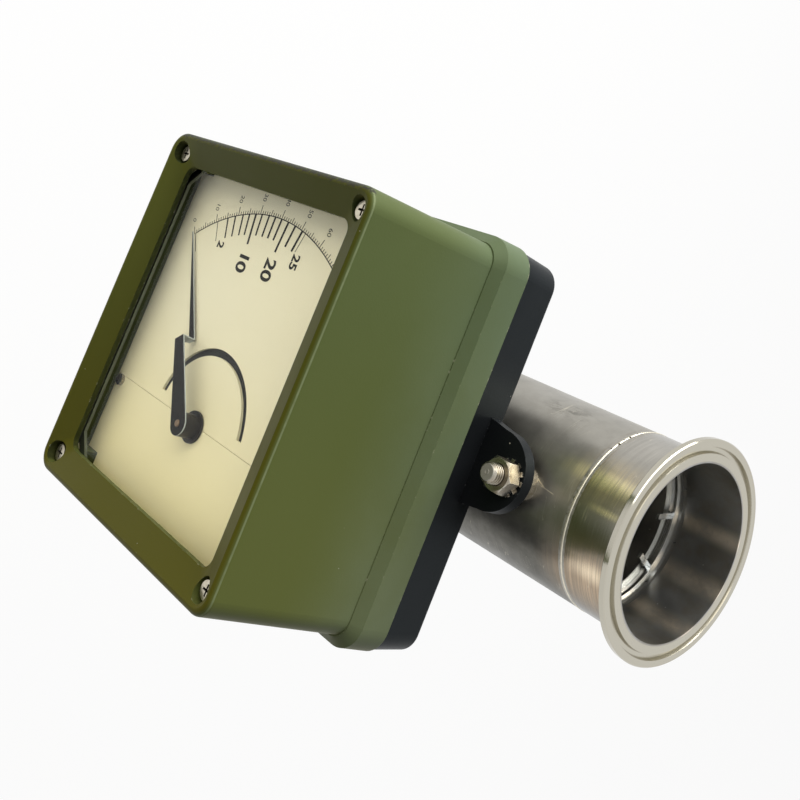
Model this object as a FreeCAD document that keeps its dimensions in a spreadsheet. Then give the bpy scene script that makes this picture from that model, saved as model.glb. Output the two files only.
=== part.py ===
import FreeCAD, Part
import Sketcher
import math
import os

# A variable-area flow meter. The tube stands along Z with its inlet face at the origin, and the
# indicator looks towards -Y. Of the indicator, distances called Front and Back are measured from
# the tube's surface towards the dial and heights from its own centre, all in millimetres.

Vector = FreeCAD.Vector
Rotation = FreeCAD.Rotation

driving = {
    # metering tube and its clamp ferrules
    "tubeRadius": 38.05, "tubeWall": 2.0, "outletLength": 150.0, "ferruleLength": 27.5,
    "rimReach": 7.45, "rimThickness": 2.85, "rimSlope": 20.0, "rimEdge": 0.4,
    "sealGrooveOut": 3.15, "sealGrooveWidth": 2.6, "sealGrooveDepth": 1.5,
    "weldWidth": 3.0, "weldCrown": 0.7, "weldCap": 0.15, "weldFlat": 0.8,
    # what is pushed into the tube
    "insertPlay": 0.05, "stopRingSeat": 1.2, "stopRingHeight": 4.2, "stopRingBand": 0.9,
    "stopPadDepth": 0.5, "stopPadAngle": 38.0, "stopPadTurn": 83.0, "stopTabReach": 8.6,
    "stopTabWidth": 2.4, "stopTabHeight": 1.2, "stopRail": 1.2, "stopSlotAngle": 76.0,
    "guideWall": 2.8, "guideHeight": 27.6, "guideArmHeight": 6.0, "guideArmWidth": 3.0,
    "bushRadius": 7.5, "bushLength": 14.0, "sleeveEntryWall": 4.55, "sleeveWall": 2.85,
    "throatRise": 10.0, "throatHeight": 8.0, "throatPlay": 0.3, "coneHeight": 44.0,
    # the float
    "floatLift": 40.6, "floatGap": 0.3, "floatRoom": 7.25, "floatNose": 15.7, "floatEdge": 1.5,
    "floatHub": 7.0, "floatBack": 6.0, "canWall": 3.0, "rodRadius": 4.0, "rodPlay": 0.05,
    "rodHold": 7.4, "rodAbove": 11.0, "rodTip": 0.8, "floatMagnetRadius": 12.0,
    "floatMagnetLength": 20.0, "magnetRise": 8.2, "magnetPlay": 0.1, "seatPlay": 0.02,
    "floatNutRadius": 7.5, "floatNutHeight": 6.5, "stopCollarHeight": 8.0, "floatShoulder": 8.0,
    # indicator housing
    "housingHeight": 150.0, "coverHalfWidth": 82.0, "coverHalfHeight": 76.0, "coverWall": 3.5,
    "coverCorner": 8.9, "coverFront": 108.05, "coverEdge": 2.4, "stepFront": 40.15, "stepOut": 4.3,
    "stepSlope": 3.9, "coverBack": 22.25, "rimCorner": 12.5, "bezelRim": 2.6, "bezelDip": 5.0,
    "bezelWidth": 13.7, "bezelLip": 2.5, "windowCorner": 5.5, "postX": 73.0, "postZ": 67.0,
    "postHalf": 4.2, "screwRadius": 2.0, "screwPlay": 0.3, "screwHeadRadius": 3.7,
    "screwHeadHeight": 2.6, "screwSinkRadius": 5.0, "screwSinkFloor": 101.55, "screwBack": 11.95,
    "crossWidth": 0.9, "crossDepth": 1.2, "crossReach": 2.3,
    "gasketThickness": 0.6, "baseBack": 1.45, "baseInset": 1.1, "baseDraft": 1.2, "baseCorner": 10.0,
    "baseEdge": 1.6, "baseFloor": 3.0, "baseWall": 5.0, "basePostPlay": 0.3,
    # ears, studs, nuts and washers that hold the housing to the tube
    "earFront": 9.95, "earBack": 4.45, "earHalfWidth": 18.5, "earInset": 8.8, "earRadius": 16.5,
    "studOut": 18.1, "studRadius": 4.0, "studHole": 4.5, "studTip": 22.95, "studChamfer": 0.9,
    "studCollar": 7.0, "washerRadius": 7.5, "washerRing": 5.9, "washerThickness": 1.0,
    "washerSheet": 0.8, "washerBore": 4.3, "toothWidth": 1.9, "toothTwist": 6.0, "nutWidth": 13.0,
    "nutHeight": 6.6, "nutFace": 12.6, "nutCountersink": 0.5, "nutTurn": 27.0,
    # window
    "glassHalfWidth": 73.0, "glassHalfHeight": 67.0, "glassCut": 9.0, "glassThickness": 2.5,
    "sealThickness": 0.8, "sealWidth": 3.5, "retainerRim": 3.5, "retainerLip": 2.2,
    "retainerSheet": 1.5,
    # dial
    "dialFront": 87.95, "dialThickness": 1.2, "dialHalfWidth": 77.9, "dialHalfHeight": 71.9,
    "dialNotch": 0.6, "seam": 31.9, "seamGap": 0.2, "pivotX": 32.8, "pivotHole": 4.0,
    "slotInner": 30.3, "slotOuter": 33.6, "slotSweep": 158.0,
    "carrierHalfWidth": 66.0, "carrierHalfHeight": 70.0, "carrierThickness": 1.5,
    "carrierPostX": 55.0, "carrierPostZ": 58.0, "carrierPostRadius": 3.0, "dialScrewX": 34.4,
    "dialScrewZ": 67.5, "dialScrewRadius": 2.6, "dialScrewHead": 1.5, "dialScrewShank": 1.2,
    # movement
    "sweep": 76.0, "shaftRadius": 1.5, "shaftFront": 96.95, "shaftBack": 8.95, "shaftTip": 0.3,
    "bearingPlay": 0.05,
    "bearingRadius": 3.5, "bearingLength": 4.0, "plateThickness": 2.0, "frontPlate": 73.95,
    "rearPlate": 19.95, "plateHalfHeight": 24.0, "plateReach": 26.0, "plateFarX": -24.0,
    "pillarRadius": 2.5, "pillarX": 20.0, "pillarZ": 19.0, "footRadius": 3.5, "footFarX": -20.0,
    "footNearX": 52.0, "footZ": 18.0,
    "hubRadius": 5.1, "flangeRadius": 6.8, "flangeThickness": 1.0, "hubGap": 0.3,
    "armFront": 96.25, "armThickness": 0.6, "armEnd": 5.0, "armBend": 38.5, "armBendHalf": 2.9,
    "bladeFront": 89.75, "bladeRootHalf": 1.8, "bladeTipHalf": 0.12, "bladeTip": 93.8,
    "collarRadius": 4.0, "collarLength": 4.0, "discRadius": 20.0, "discThickness": 1.0,
    "discFront": 52.45, "weightFront": 63.95, "weightArm": 16.0, "weightRadius": 4.5,
    "weightLength": 8.0, "weightBar": 2.0, "followerArm": 33.0, "followerMagnetRadius": 4.0,
    "followerMagnetLength": 6.0, "followerPad": 4.6, "followerPlate": 2.0, "followerFront": 13.95,
    "damperGap": 1.0, "damperMagnetThick": 2.5, "damperMagnetHalf": 6.0, "damperArm": 4.0,
    "damperReach": 10.0, "yokeThickness": 5.0, "yokeRoom": 2.0,
}
stopPads = 3
washerTeeth = 12

doc = FreeCAD.newDocument("flow_meter")
sheet = doc.addObject("Spreadsheet::Sheet", "Sizes")
for row, (alias, number) in enumerate(driving.items(), start=1):
    sheet.set("A%d" % row, alias)
    sheet.set("B%d" % row, str(number))
    sheet.setAlias("B%d" % row, alias)
doc.recompute()


class Size:
    """A length or angle in degrees, with the sheet expression that it comes from."""

    def __init__(self, value, text=None):
        self.value = float(value)
        self.text = text or "(%.9g)" % self.value

    def joined(self, other, sign, value, swap=False):
        pair = (other.text, sign, self.text) if swap else (self.text, sign, other.text)
        return Size(value, "(%s %s %s)" % pair)

    def __add__(self, other):
        other = size(other)
        return self.joined(other, "+", self.value + other.value)

    def __sub__(self, other):
        other = size(other)
        return self.joined(other, "-", self.value - other.value)

    def __mul__(self, other):
        other = size(other)
        return self.joined(other, "*", self.value * other.value)

    def __truediv__(self, other):
        other = size(other)
        return self.joined(other, "/", self.value / other.value)

    def __radd__(self, other):
        return size(other) + self

    def __rsub__(self, other):
        return size(other) - self

    def __rmul__(self, other):
        return size(other) * self

    def __neg__(self):
        return size(0) - self


def size(thing):
    if isinstance(thing, Size):
        return thing
    if isinstance(thing, str):
        return Size(sheet.get(thing), "Sizes." + thing)
    return Size(thing)


def cosine(angle):
    return Size(math.cos(math.radians(angle.value)), "cos(%s)" % angle.text)


def sine(angle):
    return Size(math.sin(math.radians(angle.value)), "sin(%s)" % angle.text)


def tangent(angle):
    return Size(math.tan(math.radians(angle.value)), "tan(%s)" % angle.text)


s = {alias: size(alias) for alias in driving}
for alias in ("coverFront", "stepFront", "coverBack", "screwSinkFloor", "screwBack", "baseBack", "earFront",
              "earBack", "studTip", "dialFront", "shaftFront", "shaftBack", "frontPlate", "rearPlate",
              "armFront", "bladeFront", "discFront", "weightFront", "followerFront"):
    s[alias] = s["tubeRadius"] + s[alias]
height = s["housingHeight"]
nodes = {}


def keep(made, label):
    made.Label = label
    nodes[label] = made
    return made


def bind(made, **expressions):
    for name, value in expressions.items():
        made.setExpression(name.replace("_", "."), size(value).text)
    return made


def place(made, x=0, y=0, z=0):
    return bind(made, Placement_Base_x=x, Placement_Base_y=y, Placement_Base_z=z)


# Bodies made from sketches

def newBody(label):
    return doc.addObject("PartDesign::Body", label)


def newSketch(body, role, offset=0):
    flat = [item for item in body.Origin.OriginFeatures if item.Role == role][0]
    drawn = body.newObject("Sketcher::SketchObject", body.Name + "_sketch")
    drawn.AttachmentSupport = [(flat, "")]
    drawn.MapMode = "FlatFace"
    bind(drawn, AttachmentOffset_Base_z=offset)
    return drawn


def held(drawn, kind, *where, value):
    drawn.setExpression("Constraints[%d]" % drawn.addConstraint(
        Sketcher.Constraint(kind, *where, size(value).value)), size(value).text)


def polygon(drawn, outline):
    outline = [(size(x), size(y)) for x, y in outline]
    first = drawn.GeometryCount
    corners = [Vector(x.value, y.value, 0) for x, y in outline]
    for corner, following in zip(corners, corners[1:] + corners[:1]):
        drawn.addGeometry(Part.LineSegment(corner, following), False)
    for step, (x, y) in enumerate(outline):
        line = first + step
        following = first + (step + 1) % len(outline)
        drawn.addConstraint(Sketcher.Constraint("Coincident", line, 2, following, 1))
        held(drawn, "DistanceX", -1, 1, line, 1, value=x)
        held(drawn, "DistanceY", -1, 1, line, 1, value=y)


def roundedBox(drawn, halfX, halfY, radius):
    """A rectangle with round corners: lines held at their ends, arcs at their centre."""
    across, up = halfX - radius, halfY - radius
    ends = [((-across, -halfY), (across, -halfY)), ((halfX, -up), (halfX, up)),
            ((across, halfY), (-across, halfY)), ((-halfX, up), (-halfX, -up))]
    centres = [(across, -up), (across, up), (-across, up), (-across, -up)]
    lines = []
    for start, end in ends:
        lines.append(drawn.addGeometry(Part.LineSegment(
            Vector(start[0].value, start[1].value, 0), Vector(end[0].value, end[1].value, 0)), False))
    for corner, (x, y) in enumerate(centres):
        quarter = Part.Circle(Vector(x.value, y.value, 0), Vector(0, 0, 1), radius.value)
        turn = math.radians(90 * (corner - 1))
        arc = drawn.addGeometry(Part.ArcOfCircle(quarter, turn, turn + math.pi / 2), False)
        drawn.addConstraint(Sketcher.Constraint("Coincident", lines[corner], 2, arc, 1))
        drawn.addConstraint(Sketcher.Constraint("Coincident", arc, 2, lines[(corner + 1) % 4], 1))
        held(drawn, "DistanceX", -1, 1, arc, 3, value=x)
    for line, points in zip(lines, ends):
        for end, (x, y) in enumerate(points, start=1):
            held(drawn, "DistanceX", -1, 1, line, end, value=x)
            held(drawn, "DistanceY", -1, 1, line, end, value=y)


def circle(drawn, x, y, radius):
    x, y, radius = size(x), size(y), size(radius)
    made = Part.Circle(Vector(x.value, y.value, 0), Vector(0, 0, 1), radius.value)
    index = drawn.addGeometry(made, False)
    held(drawn, "DistanceX", -1, 1, index, 3, value=x)
    held(drawn, "DistanceY", -1, 1, index, 3, value=y)
    held(drawn, "Radius", index, value=radius)


def turned(label, *outlines, about=None):
    """A turned piece: outlines are (radius, z) about the tube, or (radius, y) about a point (x, z)."""
    body = newBody(label)
    drawn = newSketch(body, "XZ_Plane")
    for outline in outlines:
        polygon(drawn, outline)
    spin = body.newObject("PartDesign::Revolution", label + "_turn")
    spin.Profile = drawn
    spin.ReferenceAxis = (drawn, ["V_Axis"])
    spin.Angle = 360.0
    if about:
        body.Placement = FreeCAD.Placement(Vector(), Rotation(Vector(1, 0, 0), -90))
        place(body, about[0], 0, about[1])
    return body


def grown(body, front, back, *outlines, circles=()):
    """Adds a slab between two distances in front of the tube axis, in the housing's frame."""
    drawn = newSketch(body, "XZ_Plane", back)
    for outline in outlines:
        polygon(drawn, outline)
    for x, y, radius in circles:
        circle(drawn, x, y, radius)
    pad = body.newObject("PartDesign::Pad", body.Name + "_pad")
    pad.Profile = drawn
    bind(pad, Length=size(front) - back)
    return pad


def cut(body, front, back, *outlines, circles=()):
    """Takes a slab away between two distances in front of the tube axis."""
    drawn = newSketch(body, "XZ_Plane", front)
    for outline in outlines:
        polygon(drawn, outline)
    for x, y, radius in circles:
        circle(drawn, x, y, radius)
    doc.recompute()
    before = body.Shape.Volume
    pocket = body.newObject("PartDesign::Pocket", body.Name + "_pocket")
    pocket.Profile = drawn
    bind(pocket, Length=size(front) - back)
    doc.recompute()
    if body.Shape.Volume > before - 0.01:
        raise RuntimeError("the cut in %s takes nothing away" % body.Name)
    return pocket


def lofted(body, *sections):
    """A solid between two round-cornered rectangles: distance in front, half sizes and radius."""
    drawings = []
    for distance, halfX, halfZ, radius in sections:
        drawn = newSketch(body, "XZ_Plane", distance)
        roundedBox(drawn, halfX, halfZ, radius)
        drawings.append(drawn)
    loft = body.newObject("PartDesign::AdditiveLoft", body.Name + "_loft")
    loft.Profile = drawings[0]
    loft.Sections = drawings[1:]
    loft.Ruled = True
    return loft


def box(halfX, halfZ):
    return [(-halfX, -halfZ), (halfX, -halfZ), (halfX, halfZ), (-halfX, halfZ)]


def octagon(halfX, halfZ, corner):
    return [(-halfX + corner, -halfZ), (halfX - corner, -halfZ), (halfX, -halfZ + corner),
            (halfX, halfZ - corner), (halfX - corner, halfZ), (-halfX + corner, halfZ),
            (-halfX, halfZ - corner), (-halfX, -halfZ + corner)]


def notched(halfX, halfZ, innerX, innerZ):
    return [(-innerX, -halfZ), (innerX, -halfZ), (innerX, -innerZ), (halfX, -innerZ),
            (halfX, innerZ), (innerX, innerZ), (innerX, halfZ), (-innerX, halfZ),
            (-innerX, innerZ), (-halfX, innerZ), (-halfX, -innerZ), (-innerX, -innerZ)]


def edgesAt(body, test):
    doc.recompute()
    found = []
    for number, edge in enumerate(body.Shape.Edges, start=1):
        ends = [vertex.Point for vertex in edge.Vertexes]
        if len(ends) == 2 and test(ends[0] - body.Placement.Base, ends[1] - body.Placement.Base):
            found.append("Edge%d" % number)
    return found


def dressed(body, kind, test, **sizes):
    """A fillet or chamfer on the edges of the body that pass the test."""
    names = edgesAt(body, test)
    if not names:
        raise RuntimeError("no edge to work on in " + body.Name)
    last = body.Tip
    made = body.newObject("PartDesign::" + kind, "%s_%s" % (body.Name, kind.lower()))
    made.Base = (last, names)
    bind(made, **sizes)
    doc.recompute()
    if "Invalid" in made.State:
        raise RuntimeError("a %s of %s did not build" % (kind, body.Name))
    return made


def rounded(body, radius, test):
    return dressed(body, "Fillet", test, Radius=radius)


def near(first, second):
    return abs(first - size(second).value) < 1e-4


def alongY(start, end):
    return abs(start.x - end.x) < 1e-6 and abs(start.z - end.z) < 1e-6


def cornerEdge(halfX, halfZ, front, back):
    """Tests for the four edges along Y at the corners of a rectangle, between two distances."""
    middle = -(size(front).value + size(back).value) / 2

    def test(start, end):
        reaches = min(start.y, end.y) < middle < max(start.y, end.y)
        return alongY(start, end) and reaches and near(abs(start.x), halfX) and near(abs(start.z), halfZ)
    return test


# Primitives and booleans

def rod(name, radius, x, z, front, back, degrees=360):
    """A round bar along Y between two distances in front of the tube axis."""
    made = doc.addObject("Part::Cylinder", name)
    bind(made, Radius=radius, Height=size(front) - back, Angle=degrees)
    made.Placement = FreeCAD.Placement(Vector(), Rotation(Vector(1, 0, 0), 90))
    return place(made, x, -size(back), z)


def upright(name, radius, foot, top, x=0, y=0):
    made = doc.addObject("Part::Cylinder", name)
    bind(made, Radius=radius, Height=size(top) - foot)
    return place(made, x, y, foot)


def block(name, x, y, z, length, depth, height):
    made = doc.addObject("Part::Box", name)
    bind(made, Length=length, Width=depth, Height=height)
    return place(made, x, y, z)


def turnedBlock(name, length, depth, height, lowX, lowZ, degrees):
    """A block centred across Y that starts lowX from the tube axis, turned about that axis."""
    made = doc.addObject("Part::Box", name)
    bind(made, Length=length, Width=depth, Height=height)
    made.Placement = FreeCAD.Placement(Vector(), Rotation(Vector(0, 0, 1), degrees.value))
    bind(made, Placement_Rotation_Angle=degrees)
    place(made, lowX * cosine(degrees) + depth / 2 * sine(degrees),
          lowX * sine(degrees) - depth / 2 * cosine(degrees), lowZ)
    return made


def fused(name, parts):
    made = doc.addObject("Part::MultiFuse", name)
    made.Shapes = parts
    made.Refine = True
    return made


def cutFrom(name, base, tool):
    made = doc.addObject("Part::Cut", name)
    made.Base = base
    made.Tool = tool
    made.Refine = True
    return made


# Metering tube

bore = s["tubeRadius"] - s["tubeWall"]
overallLength = height + s["outletLength"]
weldHalf = s["weldWidth"] / 2
rimRadius = s["tubeRadius"] + s["rimReach"]
rimBack = s["rimThickness"] + s["rimReach"] * tangent(s["rimSlope"])
grooveRadius = s["tubeRadius"] + s["sealGrooveOut"]
grooveLow = grooveRadius - s["sealGrooveWidth"] / 2
grooveHigh = grooveRadius + s["sealGrooveWidth"] / 2
grooveSide = s["sealGrooveWidth"] / 5


def fromInlet(outline):
    return outline


def fromOutlet(outline):
    return [(radius, overallLength - distance) for radius, distance in outline]


def ferrule(label, seen):
    """A clamp ferrule: sealing face with its gasket groove, sloped back, and a weld end."""
    edge = s["rimEdge"]
    outline = [
        (bore, 0), (grooveLow, 0), (grooveLow + grooveSide, s["sealGrooveDepth"]),
        (grooveHigh - grooveSide, s["sealGrooveDepth"]), (grooveHigh, 0), (rimRadius - edge, 0),
        (rimRadius, edge), (rimRadius, s["rimThickness"] - edge),
        (rimRadius - edge, s["rimThickness"]), (s["tubeRadius"], rimBack),
        (s["tubeRadius"], s["ferruleLength"] - weldHalf), (bore, s["ferruleLength"] - weldHalf)]
    keep(turned(label, seen(outline)), label)


def weld(label, seen):
    """The butt weld between ferrule and tube, with its crown inside and cap outside."""
    middle = s["ferruleLength"]
    flat = s["weldFlat"]
    cap, crown = s["tubeRadius"] + s["weldCap"], bore - s["weldCrown"]
    outline = [
        (bore, middle - weldHalf), (s["tubeRadius"], middle - weldHalf), (cap, middle - flat),
        (cap, middle + flat), (s["tubeRadius"], middle + weldHalf), (bore, middle + weldHalf),
        (crown, middle + flat), (crown, middle - flat)]
    keep(turned(label, seen(outline)), label)


tubeFoot = s["ferruleLength"] + weldHalf
tubeTop = overallLength - tubeFoot
keep(turned("measuring_tube", [(bore, tubeFoot), (s["tubeRadius"], tubeFoot),
                               (s["tubeRadius"], tubeTop), (bore, tubeTop)]), "measuring_tube")
ferrule("inlet_ferrule", fromInlet)
ferrule("outlet_ferrule", fromOutlet)
weld("inlet_weld", fromInlet)
weld("outlet_weld", fromOutlet)

# Levels inside the tube: the float's magnet sets them, half its lift below the indicator

stopFoot = tubeTop - s["stopRingSeat"] - s["stopRingHeight"]
lowerStopFoot = tubeFoot + s["stopRingSeat"]
lowerStopTop = lowerStopFoot + s["stopRingHeight"]
sleeveTop = stopFoot - s["guideHeight"]
magnetMiddle = height - s["floatLift"] / 2
magnetFoot = magnetMiddle - s["floatMagnetLength"] / 2
magnetTop = magnetMiddle + s["floatMagnetLength"] / 2
canFoot = magnetFoot - s["magnetRise"]
edgeTop = canFoot - s["floatBack"]
edgeFoot = edgeTop - s["floatEdge"]
floatFoot = edgeFoot - s["floatNose"]
sleeveFoot = floatFoot - s["floatGap"]

# Stop rings, guides and metering cone

insertRadius = bore - s["insertPlay"]
floatRadius = bore - s["floatRoom"]
sleeveMouth = bore - s["sleeveWall"]
ringInner = insertRadius - s["stopRingBand"]
ringMiddle = ringInner + s["stopRingBand"] / 2
padInner = ringInner - s["stopPadDepth"]
fullTurn = 360.0


def sector(name, radius, foot, tall, start, sweep):
    """A slice of a cylinder about the tube axis, from one angle over another."""
    made = doc.addObject("Part::Cylinder", name)
    bind(made, Radius=radius, Height=tall, Angle=sweep)
    made.Placement = FreeCAD.Placement(Vector(), Rotation(Vector(0, 0, 1), start.value))
    bind(made, Placement_Rotation_Angle=start)
    return place(made, 0, 0, foot)


def stopRing(label, foot):
    """A spring ring: a band with thicker pads, long slots between them and a tab inwards at each end."""
    tall, rail = s["stopRingHeight"], s["stopRail"]
    band = cutFrom(label + "_band", upright(label + "_out", insertRadius, foot, foot + tall),
                   upright(label + "_in", ringInner, foot, foot + tall))
    tabFoot = foot + (tall - s["stopTabHeight"]) / 2
    parts = []
    slots = []
    for pad in range(stopPads):
        middle = s["stopPadTurn"] + size(fullTurn * pad / stopPads)
        start = middle - s["stopPadAngle"] / 2
        thick = [sector("%s_%s%d" % (label, name, pad), radius, foot, tall, start, s["stopPadAngle"])
                 for name, radius in (("wide", ringMiddle), ("narrow", padInner))]
        parts.append(cutFrom("%s_pad%d" % (label, pad), *thick))
        for side in (0, 1):
            parts.append(turnedBlock("%s_tab%d%d" % (label, pad, side), s["stopTabReach"], s["stopTabWidth"],
                                     s["stopTabHeight"], ringMiddle - s["stopTabReach"], tabFoot,
                                     start + s["stopPadAngle"] * side))
        opposite = middle + size(fullTurn / stopPads / 2) - s["stopSlotAngle"] / 2
        slots.append(sector("%s_slot%d" % (label, pad), bore, foot + rail, tall - rail * 2, opposite,
                            s["stopSlotAngle"]))
    slotted = cutFrom(label + "_slotted", band, fused(label + "_slots", slots))
    keep(fused(label, [slotted] + parts), label)


stopRing("lower_stop_ring", lowerStopFoot)
stopRing("upper_stop_ring", stopFoot)


def guide(label, foot, top, armFoot, bushFoot):
    """A guide: a cage ring with three arms and a bush for the float's rod."""
    inner = insertRadius - s["guideWall"]
    ring = turned(label + "_ring", [(inner, foot), (insertRadius, foot), (insertRadius, top), (inner, top)])
    hub = upright(label + "_bush", s["bushRadius"], bushFoot, bushFoot + s["bushLength"])
    reach = inner + s["guideWall"] / 2 - s["bushRadius"] / 2
    arms = [turnedBlock("%s_arm%d" % (label, arm), reach, s["guideArmWidth"], s["guideArmHeight"],
                        s["bushRadius"] / 2, armFoot,
                        s["stopPadTurn"] + size(fullTurn / stopPads * (arm + 0.5)))
            for arm in range(stopPads)]
    whole = fused(label + "_whole", [ring, hub] + arms)
    hole = upright(label + "_bore", s["rodRadius"] + s["rodPlay"], bushFoot, bushFoot + s["bushLength"])
    keep(cutFrom(label, whole, hole), label)


guide("lower_guide", lowerStopTop, sleeveFoot, sleeveFoot - s["guideArmHeight"],
      sleeveFoot - s["bushLength"])
guide("upper_guide", sleeveTop, stopFoot, sleeveTop, sleeveTop)

throat = floatRadius + s["throatPlay"]
throatFoot = sleeveFoot + s["throatRise"]
throatTop = throatFoot + s["throatHeight"]
keep(turned("metering_cone", [
    (insertRadius, sleeveFoot), (insertRadius, sleeveTop), (sleeveMouth, sleeveTop),
    (sleeveMouth, throatTop + s["coneHeight"]), (throat, throatTop), (throat, throatFoot),
    (bore - s["sleeveEntryWall"], sleeveFoot)]), "metering_cone")

# The float at rest: a head and a magnet can on one rod, held by a nut

canRadius = s["floatMagnetRadius"] + s["canWall"]
canTop = magnetTop + s["canWall"]
seatRadius = s["rodRadius"] + s["seatPlay"]
pocketRadius = seatRadius + s["canWall"] / 3
floatTop = canTop + s["floatShoulder"]
keep(turned("float_body", [
    (seatRadius, floatFoot), (s["floatHub"], floatFoot), (floatRadius, edgeFoot),
    (floatRadius, edgeTop), (canRadius, canFoot), (seatRadius, canFoot)]), "float_body")
keep(turned("float_magnet_can", [
    (seatRadius, canFoot), (canRadius, canFoot), (canRadius, canTop),
    (s["floatHub"] + s["canWall"] / 2, floatTop), (seatRadius, floatTop)],
    [(pocketRadius, magnetFoot), (s["floatMagnetRadius"], magnetFoot),
     (s["floatMagnetRadius"], magnetTop), (pocketRadius, magnetTop)]), "float_magnet_can")
play = s["magnetPlay"]
keep(turned("float_magnet", [
    (pocketRadius + play, magnetFoot), (s["floatMagnetRadius"] - play, magnetFoot),
    (s["floatMagnetRadius"] - play, magnetTop - play), (pocketRadius + play, magnetTop - play)]),
    "float_magnet")
rodFoot = sleeveFoot - s["rodHold"] - s["floatLift"]
rodTop = sleeveTop + s["rodAbove"]
tip = s["rodTip"]
keep(turned("float_rod", [
    (0, rodFoot), (s["rodRadius"] - tip, rodFoot), (s["rodRadius"], rodFoot + tip),
    (s["rodRadius"], rodTop - tip), (s["rodRadius"] - tip, rodTop), (0, rodTop)]), "float_rod")
floatHex = doc.addObject("Part::Prism", "float_nut_hex")
floatHex.Polygon = 6
bind(floatHex, Circumradius=s["floatNutRadius"], Height=s["floatNutHeight"])
place(floatHex, 0, 0, floatTop)
keep(cutFrom("float_nut", floatHex,
             upright("float_nut_bore", seatRadius, floatTop, floatTop + s["floatNutHeight"])), "float_nut")
collarTop = sleeveTop - s["floatGap"] - s["floatLift"]
keep(turned("float_stop_collar", [
    (seatRadius, collarTop - s["stopCollarHeight"]), (s["floatHub"], collarTop - s["stopCollarHeight"]),
    (s["floatHub"], collarTop), (seatRadius, collarTop)]), "float_stop_collar")

# Cover: one casting with a dished bezel and a wider rim at its back

def loop(distance):
    """Tests for the edges that lie in one plane across Y."""
    return lambda start, end: near(start.y, -size(distance)) and near(end.y, -size(distance))


def fourTimes(x, z, radius):
    return [(-x, -z, radius), (x, -z, radius), (x, z, radius), (-x, z, radius)]


halfX, halfZ = s["coverHalfWidth"], s["coverHalfHeight"]
rimX, rimZ = halfX + s["stepOut"], halfZ + s["stepOut"]
innerX, innerZ = halfX - s["coverWall"], halfZ - s["coverWall"]
notchX, notchZ = s["postX"] - s["postHalf"], s["postZ"] - s["postHalf"]
dishX, dishZ = halfX - s["bezelRim"], halfZ - s["bezelRim"]
windowX, windowZ = halfX - s["bezelWidth"], halfZ - s["bezelWidth"]
bezelEdge = s["coverFront"] - s["bezelDip"]
bezelBack = bezelEdge - s["bezelLip"]

outer = newBody("cover_outer")
place(outer, 0, 0, height)
grown(outer, s["coverFront"], s["coverBack"], box(halfX, halfZ))
rounded(outer, s["coverCorner"], cornerEdge(halfX, halfZ, s["coverFront"], s["coverBack"]))
rounded(outer, s["coverEdge"], loop(s["coverFront"]))
rim = newBody("cover_rim")
place(rim, 0, 0, height)
grown(rim, s["stepFront"], s["coverBack"], box(rimX, rimZ))
rounded(rim, s["rimCorner"], cornerEdge(rimX, rimZ, s["stepFront"], s["coverBack"]))
dressed(rim, "Chamfer", loop(s["stepFront"]), Size=s["stepSlope"])
dish = newBody("cover_dish")
place(dish, 0, 0, height)
lofted(dish, (s["coverFront"], dishX, dishZ, s["coverCorner"] - s["bezelRim"]),
       (bezelEdge, windowX, windowZ, s["windowCorner"]))
window = newBody("cover_window")
place(window, 0, 0, height)
grown(window, bezelEdge, bezelBack, box(windowX, windowZ))
rounded(window, s["windowCorner"], cornerEdge(windowX, windowZ, bezelEdge, bezelBack))
cavity = newBody("cover_cavity")
place(cavity, 0, 0, height)
grown(cavity, bezelBack, s["coverBack"], notched(innerX, innerZ, notchX, notchZ))
for name, front, back, radius in (
        ("cover_sinks", s["coverFront"], s["screwSinkFloor"], s["screwSinkRadius"]),
        ("cover_bores", s["screwSinkFloor"], s["coverBack"], s["screwRadius"] + s["screwPlay"])):
    made = doc.addObject("Part::Compound", name)
    made.Links = [rod("%s%d" % (name, number), radius, x, height + z, front, back)
                  for number, (x, z, radius) in enumerate(fourTimes(s["postX"], s["postZ"], radius))]
shell = fused("cover_solid", [outer, rim])
for tool in (cavity, window, dish, doc.getObject("cover_sinks"), doc.getObject("cover_bores")):
    shell = cutFrom("cover_less_" + tool.Name, shell, tool)
keep(shell, "cover")

# Base: a drafted tray with corner blocks and two ears

baseX, baseZ = rimX - s["baseInset"], rimZ - s["baseInset"]
baseFront = s["coverBack"] - s["gasketThickness"]
trayX, trayZ = baseX - s["baseWall"], baseZ - s["baseWall"]
floor = s["baseBack"] + s["baseFloor"]
base = newBody("housing_base")
place(base, 0, 0, height)
lofted(base, (s["baseBack"], baseX - s["baseDraft"], baseZ - s["baseDraft"], s["baseCorner"]),
       (baseFront, baseX, baseZ, s["baseCorner"]))
rounded(base, s["baseEdge"], loop(s["baseBack"]))
studZ = baseZ + s["studOut"]
earCentre = studZ - s["earInset"]
earRoot = baseZ - s["baseWall"] / 2
for side in (-1, 1):
    grown(base, s["earFront"], s["earBack"],
          [(-s["earHalfWidth"], earRoot * side), (s["earHalfWidth"], earRoot * side),
           (s["earRadius"], earCentre * side), (-s["earRadius"], earCentre * side)])
    grown(base, s["earFront"], s["earBack"], circles=[(0, earCentre * side, s["earRadius"])])
cut(base, baseFront, floor,
    notched(trayX, trayZ, notchX - s["basePostPlay"], notchZ - s["basePostPlay"]))
cut(base, baseFront, s["screwBack"] - s["screwRadius"] * 2,
    circles=fourTimes(s["postX"], s["postZ"], s["screwRadius"] + s["seatPlay"]))
cut(base, s["earFront"], s["earBack"], circles=[(0, studZ * side, s["studHole"]) for side in (-1, 1)])
keep(base, "housing_base")

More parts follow.
